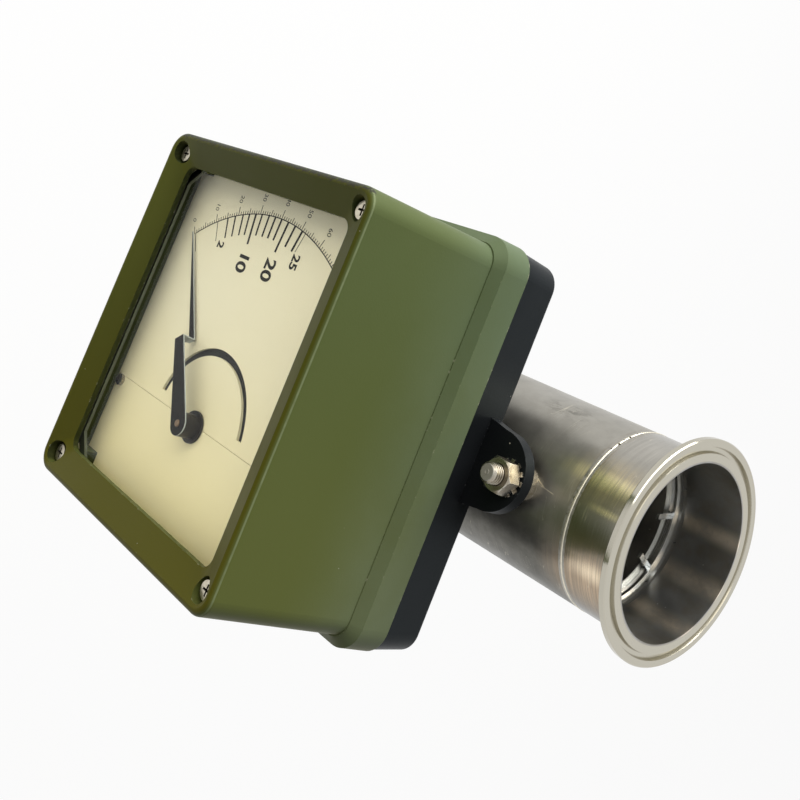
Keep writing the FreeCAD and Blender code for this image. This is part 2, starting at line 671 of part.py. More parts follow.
gasket = newBody("base_gasket")
place(gasket, 0, 0, height)
gasketX, gasketZ = baseX - s["baseDraft"], baseZ - s["baseDraft"]
grown(gasket, s["coverBack"], baseFront, box(gasketX, gasketZ))
rounded(gasket, s["baseCorner"], cornerEdge(gasketX, gasketZ, s["coverBack"], baseFront))
cut(gasket, s["coverBack"], baseFront, notched(trayX, trayZ, notchX, notchZ))
cut(gasket, s["coverBack"], baseFront,
    circles=fourTimes(s["postX"], s["postZ"], s["screwRadius"] + s["screwPlay"]))
keep(gasket, "base_gasket")

headFront = s["screwSinkFloor"] + s["screwHeadHeight"]
screwParts = []
for number, (x, z) in enumerate([(-1, -1), (1, -1), (1, 1), (-1, 1)]):
    x, z = s["postX"] * x, height + s["postZ"] * z
    head = rod("cover_screw_head%d" % number, s["screwHeadRadius"], x, z, headFront, s["screwSinkFloor"])
    shank = rod("cover_screw_shank%d" % number, s["screwRadius"], x, z, s["screwSinkFloor"], s["screwBack"])
    slots = [block("cover_screw_slot%d%d" % (number, turn), x - length / 2, -headFront, z - width / 2,
                   length, s["crossDepth"], width)
             for turn, (length, width) in enumerate([(s["crossReach"] * 2, s["crossWidth"]),
                                                     (s["crossWidth"], s["crossReach"] * 2)])]
    screwParts.append(cutFrom("cover_screw%d" % number, fused("cover_screw_blank%d" % number, [head, shank]),
                              fused("cover_screw_cross%d" % number, slots)))
compound = doc.addObject("Part::Compound", "cover_screws_all")
compound.Links = screwParts
keep(compound, "cover_screws")

# Studs, toothed washers and nuts at the ears

washerBack = s["earFront"]
nutBack = washerBack + s["washerThickness"]
halfFlat = size(fullTurn / 12)
hexRadius = s["nutWidth"] / 2 / cosine(halfFlat)
hexAngles = [s["nutTurn"] + halfFlat * 2 * number for number in range(6)]
hexCorners = [(hexRadius * cosine(angle), hexRadius * sine(angle)) for angle in hexAngles]
studRoot = s["tubeRadius"] - s["studCollar"] / 2
for name, side in (("upper", 1), ("lower", -1)):
    z = height + studZ * side
    chamfer = s["studChamfer"]
    stud = turned(name + "_stud_turned", [
        (0, -studRoot), (s["studCollar"], -studRoot),
        (s["studCollar"], -s["earBack"]), (s["studRadius"], -s["earBack"]),
        (s["studRadius"], -s["studTip"] + chamfer), (s["studRadius"] - chamfer, -s["studTip"]),
        (0, -s["studTip"])], about=(0, z))
    saddle = upright(name + "_saddle", s["tubeRadius"], z - s["studCollar"] * 2, z + s["studCollar"] * 2)
    keep(cutFrom(name + "_stud", stud, saddle), name + "_stud")

    washer = newBody(name + "_tooth_washer")
    place(washer, 0, 0, z)
    middle = washerBack + s["washerThickness"] / 2
    half = s["washerSheet"] / 2
    grown(washer, middle + half, middle - half,
          circles=[(0, 0, s["washerRing"]), (0, 0, s["washerBore"])])
    drawn = newSketch(washer, "YZ_Plane", s["washerRing"] - s["toothWidth"] / 4)
    twist = s["toothTwist"]
    thickY, thickZ = half * cosine(twist), half * sine(twist)
    wideY, wideZ = s["toothWidth"] / 2 * sine(twist), s["toothWidth"] / 2 * cosine(twist)
    polygon(drawn, [(-middle - thickY - wideY, -wideZ + thickZ),
                    (-middle + thickY - wideY, -wideZ - thickZ),
                    (-middle + thickY + wideY, wideZ - thickZ),
                    (-middle - thickY + wideY, wideZ + thickZ)])
    tooth = washer.newObject("PartDesign::Pad", name + "_tooth")
    tooth.Profile = drawn
    bind(tooth, Length=s["washerRadius"] - s["washerRing"] + s["toothWidth"] / 4)
    doc.recompute()
    around = washer.newObject("PartDesign::PolarPattern", name + "_teeth")
    around.Originals = [tooth]
    around.Axis = ([item for item in washer.Origin.OriginFeatures if item.Role == "Y_Axis"][0], [""])
    around.Angle = 360
    around.Occurrences = washerTeeth
    washer.Tip = around
    keep(washer, name + "_tooth_washer")

    hexagon = newBody(name + "_nut_hex")
    place(hexagon, 0, 0, z)
    nutFront = nutBack + s["nutHeight"]
    grown(hexagon, nutFront, nutBack, hexCorners)
    faceRadius = s["nutFace"] / 2
    coneDepth = (hexRadius - faceRadius) * tangent(halfFlat)
    nutBore = s["studRadius"] + s["seatPlay"]
    sink = s["nutCountersink"]
    blank = turned(name + "_nut_blank", [
        (nutBore + sink, -nutBack), (faceRadius, -nutBack), (hexRadius, -nutBack - coneDepth),
        (hexRadius, -nutFront + coneDepth), (faceRadius, -nutFront), (nutBore + sink, -nutFront),
        (nutBore, -nutFront + sink), (nutBore, -nutBack - sink)], about=(0, z))
    nut = doc.addObject("Part::Common", name + "_nut")
    nut.Base = hexagon
    nut.Tool = blank
    keep(nut, name + "_nut")


def plate(label, front, back, outlines=(), circles=(), holes=()):
    """A flat piece of the indicator, drawn in the housing's frame."""
    made = newBody(label)
    place(made, 0, 0, height)
    for outline in outlines:
        grown(made, front, back, outline)
    for wanted in circles:
        grown(made, front, back, circles=[wanted])
    if holes:
        cut(made, front, back, circles=list(holes))
    return keep(made, label)


# Window: glass on a gasket, pressed on by a sheet frame

glassX, glassZ, glassCut = s["glassHalfWidth"], s["glassHalfHeight"], s["glassCut"]
glassFront = bezelBack - s["sealThickness"]
glassBack = glassFront - s["glassThickness"]
plate("window_glass", glassFront, glassBack, [octagon(glassX, glassZ, glassCut)])
seal = newBody("window_gasket")
place(seal, 0, 0, height)
sealX, sealZ = glassX - s["sealWidth"], glassZ - s["sealWidth"]
grown(seal, bezelBack, glassFront, octagon(glassX, glassZ, glassCut), octagon(sealX, sealZ, glassCut / 2))
keep(seal, "window_gasket")
retainer = newBody("glass_retainer")
place(retainer, 0, 0, height)
frameX, frameZ = glassX + s["retainerRim"], glassZ + s["retainerRim"]
frameCut = glassCut + s["retainerRim"] * 2
lipX, lipZ = glassX - s["retainerLip"], glassZ - s["retainerLip"]
retainerBack = glassBack - s["retainerSheet"]
grown(retainer, glassBack, retainerBack, octagon(frameX, frameZ, frameCut),
      octagon(lipX, lipZ, glassCut + s["retainerRim"] / 3))
sideX, sideZ = glassX + s["retainerRim"] / 2, glassZ + s["retainerRim"] / 2
reachX, reachZ = frameX - frameCut, frameZ - frameCut
for side in (-1, 1):
    nearX, farX, nearZ, farZ = sideX * side, frameX * side, sideZ * side, frameZ * side
    grown(retainer, glassFront, glassBack,
          [(nearX, -reachZ), (farX, -reachZ), (farX, reachZ), (nearX, reachZ)])
    grown(retainer, glassFront, glassBack,
          [(-reachX, nearZ), (reachX, nearZ), (reachX, farZ), (-reachX, farZ)])
keep(retainer, "glass_retainer")

# Dial in two plates on a carrier

dialFront = s["dialFront"]
dialBack = dialFront - s["dialThickness"]
carrierBack = dialBack - s["carrierThickness"]
dialX, dialZ = s["dialHalfWidth"], s["dialHalfHeight"]
cutX, cutZ = notchX - s["dialNotch"], notchZ - s["dialNotch"]
pivot = s["pivotX"]
seam, otherSeam = s["seam"], s["seam"] + s["seamGap"]
dialScrews = [(s["dialScrewX"], s["dialScrewZ"] * side) for side in (-1, 1)]
screwHole = s["dialScrewShank"] + s["seatPlay"]
scale = newBody("dial_scale_blank")
place(scale, 0, 0, height)
grown(scale, dialFront, dialBack,
      [(-dialX, -cutZ), (-cutX, -cutZ), (-cutX, -dialZ), (seam, -dialZ), (seam, dialZ),
       (-cutX, dialZ), (-cutX, cutZ), (-dialX, cutZ)])
cut(scale, dialFront, dialBack, circles=[(pivot, 0, s["pivotHole"])])
slotRing = cutFrom("dial_slot_ring",
                   rod("dial_slot_out", s["slotOuter"], pivot, height, dialFront, dialBack),
                   rod("dial_slot_in", s["slotInner"], pivot, height, dialFront, dialBack))
slotEnd = pivot - s["slotInner"] * cosine(s["slotSweep"] / 2)
limit = block("dial_slot_limit", slotEnd - s["slotOuter"] * 2, -dialFront, height - s["slotOuter"],
              s["slotOuter"] * 2, s["dialThickness"], s["slotOuter"] * 2)
dialSlot = doc.addObject("Part::Common", "dial_slot")
dialSlot.Base = slotRing
dialSlot.Tool = limit
keep(cutFrom("dial_scale_plate", scale, dialSlot), "dial_scale_plate")
plate("dial_name_plate", dialFront, dialBack,
      [[(otherSeam, -dialZ), (cutX, -dialZ), (cutX, -cutZ), (dialX, -cutZ), (dialX, cutZ), (cutX, cutZ),
        (cutX, dialZ), (otherSeam, dialZ)]],
      holes=[(pivot, 0, s["pivotHole"])] + [(x, z, screwHole) for x, z in dialScrews])
plate("dial_carrier", dialBack, carrierBack, [box(s["carrierHalfWidth"], s["carrierHalfHeight"])],
      holes=[(pivot, 0, s["pivotHole"] * 2)] + [(x, z, screwHole) for x, z in dialScrews])
postPlaces = fourTimes(s["carrierPostX"], s["carrierPostZ"], s["carrierPostRadius"])
posts = [rod("carrier_post%d" % number, radius, x, height + z, carrierBack, floor)
         for number, (x, z, radius) in enumerate(postPlaces)]
standing = doc.addObject("Part::Compound", "carrier_posts_all")
standing.Links = posts
keep(standing, "carrier_posts")
dialScrewParts = []
for number, (x, z) in enumerate(dialScrews):
    z = height + z
    front = dialFront + s["dialScrewHead"]
    blank = fused("dial_screw_blank%d" % number,
                  [rod("dial_screw_head%d" % number, s["dialScrewRadius"], x, z, front, dialFront),
                   rod("dial_screw_shank%d" % number, s["dialScrewShank"], x, z, dialFront, carrierBack)])
    slot = block("dial_screw_slot%d" % number, x - s["dialScrewRadius"], -front, z - s["crossWidth"] / 4,
                 s["dialScrewRadius"] * 2, s["dialScrewHead"] / 2, s["crossWidth"] / 2)
    dialScrewParts.append(cutFrom("dial_screw%d" % number, blank, slot))
pair = doc.addObject("Part::Compound", "dial_screws_all")
pair.Links = dialScrewParts
keep(pair, "dial_screws")

# Movement frame with its bearings and the damping magnets

thick = s["plateThickness"]
bearingSeat = s["bearingRadius"] + s["seatPlay"]
high = s["plateHalfHeight"]
frontBack = s["frontPlate"] - thick
rearBack = s["rearPlate"] - thick
plate("movement_front_plate", s["frontPlate"], frontBack,
      [[(pivot - s["plateReach"], -high), (pivot + s["plateReach"], -high),
        (pivot + s["plateReach"], high), (pivot - s["plateReach"], high)]], holes=[(pivot, 0, bearingSeat)])
yokeBack = pivot + s["discRadius"] + s["yokeRoom"] + s["yokeThickness"] * 2
plate("movement_rear_plate", s["rearPlate"], rearBack,
      [[(s["plateFarX"], -high), (yokeBack, -high), (yokeBack, high), (s["plateFarX"], high)]],
      holes=[(pivot, 0, bearingSeat)])
bars = []
for number, (x, z, radius) in enumerate(fourTimes(s["pillarX"], s["pillarZ"], s["pillarRadius"])):
    bars.append(rod("pillar%d" % number, radius, pivot + x, height + z, frontBack, s["rearPlate"]))
feet = [(x, s["footZ"] * side) for x in (s["footFarX"], s["footNearX"]) for side in (-1, 1)]
for number, (x, z) in enumerate(feet):
    bars.append(rod("foot%d" % number, s["footRadius"], x, height + z, rearBack, floor))
frame = doc.addObject("Part::Compound", "movement_pillars_all")
frame.Links = bars
keep(frame, "movement_pillars")
runningHole = s["shaftRadius"] + s["bearingPlay"]
for label, plateFront in (("front_bearing", s["frontPlate"]), ("rear_bearing", s["rearPlate"])):
    front = plateFront + thick / 2
    back = front - s["bearingLength"]
    keep(turned(label, [(runningHole, -front), (s["bearingRadius"], -front),
                        (s["bearingRadius"], -back), (runningHole, -back)], about=(pivot, height)), label)

discFront = s["discFront"]
discBack = discFront - s["discThickness"]
outerMagnetBack = discFront + s["damperGap"]
outerMagnetFront = outerMagnetBack + s["damperMagnetThick"]
innerMagnetFront = discBack - s["damperGap"]
innerMagnetBack = innerMagnetFront - s["damperMagnetThick"]
magnetX = pivot + s["discRadius"] - s["damperReach"]
magnetZ = height - s["damperMagnetHalf"]
columnX = pivot + s["discRadius"] + s["yokeRoom"] + s["yokeThickness"] / 2
armLong = columnX - magnetX + s["yokeThickness"]
tall = s["damperMagnetHalf"] * 2
yokeFront = outerMagnetFront + s["damperArm"]
keep(fused("damper_yoke", [
    block("yoke_column", columnX, -yokeFront, magnetZ, s["yokeThickness"], yokeFront - s["rearPlate"], tall),
    block("yoke_outer", magnetX, -yokeFront, magnetZ, armLong, s["damperArm"], tall),
    block("yoke_inner", magnetX, -innerMagnetBack, magnetZ, armLong, s["damperArm"], tall)]), "damper_yoke")
magnets = doc.addObject("Part::Compound", "damper_magnets_all")
magnets.Links = [
    block("damper_magnet_outer", magnetX, -outerMagnetFront, magnetZ, s["damperReach"] - s["yokeRoom"],
          s["damperMagnetThick"], tall),
    block("damper_magnet_inner", magnetX, -innerMagnetFront, magnetZ, s["damperReach"] - s["yokeRoom"],
          s["damperMagnetThick"], tall)]
keep(magnets, "damper_magnets")

# What turns with the pointer, drawn with the pointer along -X and then set to the scale's zero

turningHole = s["shaftRadius"] + s["seatPlay"]


def swinging(label):
    made = newBody(label)
    made.Placement = FreeCAD.Placement(Vector(), Rotation(Vector(0, 1, 0), -s["sweep"].value / 2))
    bind(made, Placement_Rotation_Angle=-s["sweep"] / 2)
    return place(made, pivot, 0, height)


armBack = s["armFront"] - s["armThickness"]
bladeBack = s["bladeFront"] - s["armThickness"]
bend = s["armBend"] + s["armThickness"]
pointer = swinging("pointer")
grown(pointer, s["armFront"], armBack, circles=[(0, 0, s["armEnd"])])
grown(pointer, s["armFront"], armBack, [(0, -s["armEnd"]), (0, s["armEnd"]), (-bend, s["armBendHalf"]),
                                        (-bend, -s["armBendHalf"])])
web = newSketch(pointer, "YZ_Plane", -bend)
polygon(web, [(-s["armFront"], -s["armBendHalf"]), (-armBack, -s["armBendHalf"]),
              (-bladeBack, -s["bladeRootHalf"]), (-bladeBack, s["bladeRootHalf"]),
              (-armBack, s["armBendHalf"]), (-s["armFront"], s["armBendHalf"])])
webPad = pointer.newObject("PartDesign::Pad", "pointer_web")
webPad.Profile = web
bind(webPad, Length=s["armThickness"])
grown(pointer, s["bladeFront"], bladeBack,
      [(-s["armBend"], -s["bladeRootHalf"]), (-s["armBend"], s["bladeRootHalf"]),
       (-s["bladeTip"], s["bladeTipHalf"]), (-s["bladeTip"], -s["bladeTipHalf"])])
cut(pointer, s["armFront"], armBack, circles=[(0, 0, turningHole)])
keep(pointer, "pointer")

flangeBack = dialFront + s["hubGap"]
flangeFront = flangeBack + s["flangeThickness"]
atPivot = (pivot, height)
keep(turned("pointer_hub", [
    (turningHole, -armBack), (s["hubRadius"], -armBack), (s["hubRadius"], -flangeFront),
    (s["flangeRadius"], -flangeFront), (s["flangeRadius"], -flangeBack), (turningHole, -flangeBack)],
    about=atPivot), "pointer_hub")
shaftFront, shaftTip = s["shaftFront"], s["shaftTip"]
keep(turned("pointer_shaft", [
    (0, -shaftFront), (s["shaftRadius"] - shaftTip, -shaftFront), (s["shaftRadius"], -shaftFront + shaftTip),
    (s["shaftRadius"], -s["shaftBack"]), (0, -s["shaftBack"])], about=atPivot), "pointer_shaft")
collarHalf = s["collarLength"] / 2
discMiddle = discFront - s["discThickness"] / 2
keep(turned("damper_disc", [
    (turningHole, -discMiddle - collarHalf), (s["collarRadius"], -discMiddle - collarHalf),
    (s["collarRadius"], -discFront), (s["discRadius"], -discFront), (s["discRadius"], -discBack),
    (s["collarRadius"], -discBack), (s["collarRadius"], -discMiddle + collarHalf),
    (turningHole, -discMiddle + collarHalf)], about=atPivot), "damper_disc")

weight = swinging("counterweight")
weightBack = s["weightFront"] - s["weightBar"]
grown(weight, s["weightFront"], weightBack, [(0, -s["weightBar"]), (s["weightArm"], -s["weightBar"]),
                                             (s["weightArm"], s["weightBar"]), (0, s["weightBar"])])
grown(weight, weightBack + s["collarLength"], weightBack, circles=[(0, 0, s["collarRadius"])])
grown(weight, weightBack + s["weightLength"], weightBack, circles=[(s["weightArm"], 0, s["weightRadius"])])
cut(weight, weightBack + s["collarLength"], weightBack, circles=[(0, 0, turningHole)])
keep(weight, "counterweight")

follower = swinging("follower_arm")
followerBack = s["followerFront"] - s["followerPlate"]
followerCollar = followerBack - s["followerPlate"] / 2
grown(follower, s["followerFront"], followerBack,
      [(0, -s["collarRadius"]), (0, s["collarRadius"]), (-s["followerArm"], s["followerMagnetRadius"]),
       (-s["followerArm"], -s["followerMagnetRadius"])])
grown(follower, s["followerFront"], followerBack, circles=[(-s["followerArm"], 0, s["followerPad"])])
grown(follower, followerCollar + s["collarLength"], followerCollar, circles=[(0, 0, s["collarRadius"])])
cut(follower, followerCollar + s["collarLength"], followerCollar, circles=[(0, 0, turningHole)])
keep(follower, "follower_arm")
driven = swinging("follower_magnet")
grown(driven, followerBack, followerBack - s["followerMagnetLength"],
      circles=[(-s["followerArm"], 0, s["followerMagnetRadius"])])
keep(driven, "follower_magnet")

doc.recompute()
for made in doc.Objects:
    if "Invalid" in made.State or "Error" in made.State:
        raise RuntimeError("%s did not build: %s" % (made.Name, made.State))
os.makedirs("parts", exist_ok=True)
for label, made in nodes.items():
    shape = made.Shape
    if shape.isNull() or not shape.isValid() or not shape.Solids:
        raise RuntimeError("no sound shape in " + label)
    shape.exportStep("parts/%s.step" % label)
    print("%-22s solids %2d  volume %10.1f mm3" % (label, len(shape.Solids), shape.Volume))
print(len(nodes), "nodes")
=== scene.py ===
import math

import bpy
from mathutils import Matrix, Vector


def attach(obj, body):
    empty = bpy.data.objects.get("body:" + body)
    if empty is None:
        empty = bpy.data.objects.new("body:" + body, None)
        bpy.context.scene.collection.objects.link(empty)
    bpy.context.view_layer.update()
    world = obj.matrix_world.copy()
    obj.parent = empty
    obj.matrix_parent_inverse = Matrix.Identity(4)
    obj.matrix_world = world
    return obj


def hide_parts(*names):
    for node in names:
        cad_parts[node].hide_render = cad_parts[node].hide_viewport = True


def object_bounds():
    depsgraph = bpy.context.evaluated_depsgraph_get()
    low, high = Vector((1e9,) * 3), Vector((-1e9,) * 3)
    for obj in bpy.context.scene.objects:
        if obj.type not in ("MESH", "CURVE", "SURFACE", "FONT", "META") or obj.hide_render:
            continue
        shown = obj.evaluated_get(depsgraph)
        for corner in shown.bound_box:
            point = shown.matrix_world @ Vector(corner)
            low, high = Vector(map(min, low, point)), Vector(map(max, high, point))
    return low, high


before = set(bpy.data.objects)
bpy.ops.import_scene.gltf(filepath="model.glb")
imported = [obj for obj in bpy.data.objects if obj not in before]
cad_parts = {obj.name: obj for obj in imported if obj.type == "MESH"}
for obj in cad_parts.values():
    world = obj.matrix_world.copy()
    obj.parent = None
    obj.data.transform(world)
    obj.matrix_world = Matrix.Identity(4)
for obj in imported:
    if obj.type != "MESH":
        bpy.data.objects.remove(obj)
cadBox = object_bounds()
mm = 0.001

# Where the photograph was taken from: the camera's own directions in the meter's frame.
camera = {
    "place": (-47.6, -393.5, 526.6),
    "right": (-0.37905, 0.71065, 0.59270),
    "forward": (-0.06765, 0.61751, -0.78365),
    "focalPixels": 1099.8,
    "centre": (349.2, 199.8),
    "picture": 800,
    "sensor": 36.0,
    "clipStart": 0.01,
}


def setCamera():
    right = Vector(camera["right"]).normalized()
    back = -Vector(camera["forward"]).normalized()
    up = back.cross(right).normalized()
    right = up.cross(back)
    bpy.ops.object.camera_add()
    viewer = bpy.context.object
    turn = Matrix((right, up, back)).transposed().to_4x4()
    viewer.matrix_world = Matrix.Translation(Vector(camera["place"]) * mm) @ turn
    lens = viewer.data
    lens.sensor_fit = "HORIZONTAL"
    lens.sensor_width = camera["sensor"]
    lens.lens = camera["sensor"] * camera["focalPixels"] / camera["picture"]
    half = camera["picture"] / 2
    lens.shift_x = (half - camera["centre"][0]) / camera["picture"]
    lens.shift_y = (camera["centre"][1] - half) / camera["picture"]
    lens.clip_start = camera["clipStart"]
    bpy.context.scene.camera = viewer


# Soft lamps beyond the dial's left side, and a weak warm one before the dial
studio = {
    "lamps": {
        "high": {"towards": (-0.9, 0.1, 0.4), "size": 1.1, "power": 23, "color": (1, 0.98, 0.93)},
        "side": {"towards": (-0.7, -0.2, 0.7), "size": 1.1, "power": 11, "color": (1, 1, 0.97)},
        "dial": {"towards": (-0.6, -0.75, 0.15), "size": 1.1, "power": 4.4, "color": (1, 0.92, 0.74)},
        "fill": {"towards": (-0.5, 0.4, 0.77), "size": 1.1, "power": 3, "color": (1, 1, 1)},
    },
    "spot": (0, -0.05, 0.15), "far": 1.4, "worldColor": (0.10, 0.10, 0.095),
    "floorSize": 6.0, "floorDrop": 0.4, "floorColor": (0.86, 0.86, 0.86), "floorRough": 0.9,
    "floorGlow": 0.93,
}


def addLamp(name, lamp):
    direction = Vector(lamp["towards"]).normalized()
    place = Vector(studio["spot"]) + direction * studio["far"]
    bpy.ops.object.light_add(type="AREA", location=place)
    made = bpy.context.object
    made.name = name
    made.rotation_euler = direction.to_track_quat("Z", "Y").to_euler()
    made.data.energy = lamp["power"]
    made.data.size = lamp["size"]
    made.data.color = lamp["color"]


def link(tree, fromNode, fromSocket, toNode, toSocket):
    tree.links.new(fromNode.outputs[fromSocket], toNode.inputs[toSocket])


def doMath(tree, operation, first=None, second=None, third=None, clamp=False):
    node = tree.nodes.new("ShaderNodeMath")
    node.operation = operation
    node.use_clamp = clamp
    for index, value in enumerate((first, second, third)):
        if isinstance(value, (int, float)):
            node.inputs[index].default_value = value
        elif value is not None:
            tree.links.new(value, node.inputs[index])
    return node.outputs[0]


def seenShare(tree, share=1.0):
    # one where a ray from the camera, a reflection or the glass meets the background, else nought
    seen = tree.nodes.new("ShaderNodeLightPath")
    reflected = doMath(tree, "ADD", seen.outputs["Is Glossy Ray"], seen.outputs["Is Transmission Ray"])
    either = doMath(tree, "ADD", seen.outputs["Is Camera Ray"], reflected, clamp=True)
    return doMath(tree, "MULTIPLY", either, share)


def setWorld():
    world = bpy.data.worlds.new("studio")
    bpy.context.scene.world = world
    world.use_nodes = True
    tree = world.node_tree
    tree.nodes.clear()
    light = tree.nodes.new("ShaderNodeBackground")
    light.inputs["Color"].default_value = (*studio["worldColor"], 1)
    white = tree.nodes.new("ShaderNodeBackground")
    white.inputs["Color"].default_value = (1, 1, 1, 1)
    mix = tree.nodes.new("ShaderNodeMixShader")
    tree.links.new(seenShare(tree), mix.inputs["Fac"])
    link(tree, light, "Background", mix, 1)
    link(tree, white, "Background", mix, 2)
    out = tree.nodes.new("ShaderNodeOutputWorld")
    link(tree, mix, "Shader", out, "Surface")


def addFloor():
    level = cadBox[0][2] - studio["floorDrop"]
    bpy.ops.mesh.primitive_plane_add(size=studio["floorSize"], location=(0, 0, level))
    floor = bpy.context.object
    floor.name = "floor"
    material = bpy.data.materials.new("floor_white")
    material.use_nodes = True
    tree = material.node_tree
    shader = tree.nodes["Principled BSDF"]
    shader.inputs["Base Color"].default_value = (*studio["floorColor"], 1)
    shader.inputs["Roughness"].default_value = studio["floorRough"]
    glow = tree.nodes.new("ShaderNodeEmission")
    mix = tree.nodes.new("ShaderNodeMixShader")
    tree.links.new(seenShare(tree, studio["floorGlow"]), mix.inputs["Fac"])
    link(tree, shader, "BSDF", mix, 1)
    link(tree, glow, "Emission", mix, 2)
    link(tree, mix, "Shader", tree.nodes["Material Output"], "Surface")
    floor.data.materials.append(material)


# Node groups that several finishes share

def newGroup(name, numbers, outputs):
    group = bpy.data.node_groups.new(name, "ShaderNodeTree")
    for label, value in numbers.items():
        socket = group.interface.new_socket(label, in_out="INPUT", socket_type="NodeSocketFloat")
        socket.default_value = value
    for label in outputs:
        group.interface.new_socket(label, in_out="OUTPUT", socket_type="NodeSocketFloat")
    return group, group.nodes.new("NodeGroupInput").outputs, group.nodes.new("NodeGroupOutput").inputs


def multiply(tree, first, second, clamp=False):
    return doMath(tree, "MULTIPLY", first, second, clamp=clamp)


def minus(tree, first, second):
    return doMath(tree, "SUBTRACT", first, second)


def spread(tree, value, low, high):
    # from low to high as the value goes from nought to one
    return doMath(tree, "MULTIPLY_ADD", value, high - low, low)


def ramp(tree, value, low, high):
    # nought at low and one at high, with soft ends
    node = tree.nodes.new("ShaderNodeMapRange")
    node.interpolation_type = "SMOOTHSTEP"
    node.inputs["From Min"].default_value = low
    node.inputs["From Max"].default_value = high
    tree.links.new(value, node.inputs["Value"])
    return node.outputs["Result"]


def band(tree, value, centre, reach, core=0.3):
    # one about the centre, fading to nought at its reach
    away = doMath(tree, "ABSOLUTE", minus(tree, value, centre))
    return ramp(tree, away, reach, reach * core)


def coordinates(tree, kind):
    place = tree.nodes.new("ShaderNodeTexCoord")
    split = tree.nodes.new("ShaderNodeSeparateXYZ")
    link(tree, place, kind, split, "Vector")
    return split.outputs


def millimetres(tree, axis):
    return multiply(tree, coordinates(tree, "Object")[axis], 1000.0)


def facing(tree, axis):
    return coordinates(tree, "Normal")[axis]


def objectPoint(tree, scale=(1, 1, 1)):
    place = tree.nodes.new("ShaderNodeTexCoord")
    mapping = tree.nodes.new("ShaderNodeMapping")
    mapping.inputs["Scale"].default_value = scale
    link(tree, place, "Object", mapping, "Vector")
    return mapping.outputs["Vector"]


def noise(tree, point, scale, detail=3.0, rough=0.55):
    node = tree.nodes.new("ShaderNodeTexNoise")
    node.inputs["Detail"].default_value = detail
    node.inputs["Roughness"].default_value = rough
    tree.links.new(point, node.inputs["Vector"])
    if isinstance(scale, (int, float)):
        node.inputs["Scale"].default_value = scale
    else:
        tree.links.new(scale, node.inputs["Scale"])
    return node.outputs["Fac"]


def makeTubePlace():
    # where a point lies about the tube's axis: millimetres out and up, degrees round
    group, _, out = newGroup("tubePlace", {}, ("Radius", "Around", "Height"))
    x, y, z = (coordinates(group, "Object")[axis] for axis in "XYZ")
    square = doMath(group, "MULTIPLY_ADD", x, x, multiply(group, y, y))
    group.links.new(multiply(group, doMath(group, "SQRT", square), 1000.0), out["Radius"])
    group.links.new(doMath(group, "DEGREES", doMath(group, "ARCTAN2", y, x)), out["Around"])
    group.links.new(multiply(group, z, 1000.0), out["Height"])
    return group


wear = {"samples": 6, "steep": 6.0, "detail": 4.0, "amountShare": 0.3, "level": -0.73, "contrast": 12.0}


def makeEdgeWear():
    # chips along the sharp edges: how far the bevelled normal turns from the true one, in spots
    group, given, out = newGroup("edgeWear", {"Width": 0.0012, "Break": 220.0, "Amount": 0.5}, ("Mask",))
    softened = group.nodes.new("ShaderNodeBevel")
    softened.samples = wear["samples"]
    group.links.new(given["Width"], softened.inputs["Radius"])
    surface = group.nodes.new("ShaderNodeNewGeometry")
    dot = group.nodes.new("ShaderNodeVectorMath")
    dot.operation = "DOT_PRODUCT"
    link(group, softened, "Normal", dot, 0)
    link(group, surface, "Normal", dot, 1)
    sharp = doMath(group, "MULTIPLY_ADD", dot.outputs["Value"], -wear["steep"], wear["steep"], clamp=True)
    spots = noise(group, objectPoint(group), given["Break"], wear["detail"])
    level = doMath(group, "MULTIPLY_ADD", given["Amount"], wear["amountShare"], wear["level"])
    chips = multiply(group, doMath(group, "ADD", spots, level), wear["contrast"], clamp=True)
    group.links.new(multiply(group, sharp, chips), out["Mask"])
    return group


def makeSpecks():
    # small scattered spots of dust or bare metal
    contrast = 20.0
    group, given, out = newGroup("specks", {"Scale": 300.0, "Size": 0.12, "Share": 0.2}, ("Mask",))
    cells = group.nodes.new("ShaderNodeTexVoronoi")
    group.links.new(objectPoint(group), cells.inputs["Vector"])
    group.links.new(given["Scale"], cells.inputs["Scale"])
    inside = multiply(group, minus(group, given["Size"], cells.outputs["Distance"]), contrast, clamp=True)
    tone = group.nodes.new("ShaderNodeSeparateColor")
    link(group, cells, "Color", tone, "Color")
    chosen = doMath(group, "LESS_THAN", tone.outputs["Red"], given["Share"])
    group.links.new(multiply(group, inside, chosen), out["Mask"])
    return group


def makeGrain():
    # fine surface unevenness: a mask for colour and a height for bump
    contrast, level = 2.4, -0.7
    group, given, out = newGroup("grain", {"Large": 30.0, "Fine": 900.0}, ("Blotch", "Height"))
    point = objectPoint(group)
    blotch = noise(group, point, given["Large"], 4.0, 0.6)
    group.links.new(doMath(group, "MULTIPLY_ADD", blotch, contrast, level, clamp=True), out["Blotch"])
    group.links.new(noise(group, point, given["Fine"], 2.0), out["Height"])
    return group


def makeTurnedMarks():
    # thin rings round the tube, as polishing leaves them, and a cloud of tones
    group, given, out = newGroup("turnedMarks", {"Pitch": 1400.0, "Drift": 18.0}, ("Lines", "Cloud"))
    x, y, z = (coordinates(group, "Object")[axis] for axis in "XYZ")
    around = doMath(group, "ARCTAN2", y, x)
    joined = group.nodes.new("ShaderNodeCombineXYZ")
    group.links.new(doMath(group, "COSINE", around), joined.inputs["X"])
    group.links.new(doMath(group, "SINE", around), joined.inputs["Y"])
    group.links.new(multiply(group, z, given["Pitch"]), joined.inputs["Z"])
    group.links.new(noise(group, joined.outputs["Vector"], 1.0, 2.0), out["Lines"])
    group.links.new(noise(group, objectPoint(group), given["Drift"], 4.0, 0.6), out["Cloud"])
    return group


hair = {
    "stretch": (0.35, 0.35, 4.0), "patchStretch": (1.3, 1.0, 1.0), "patches": 55.0, "kept": (1.0, 1.12),
}


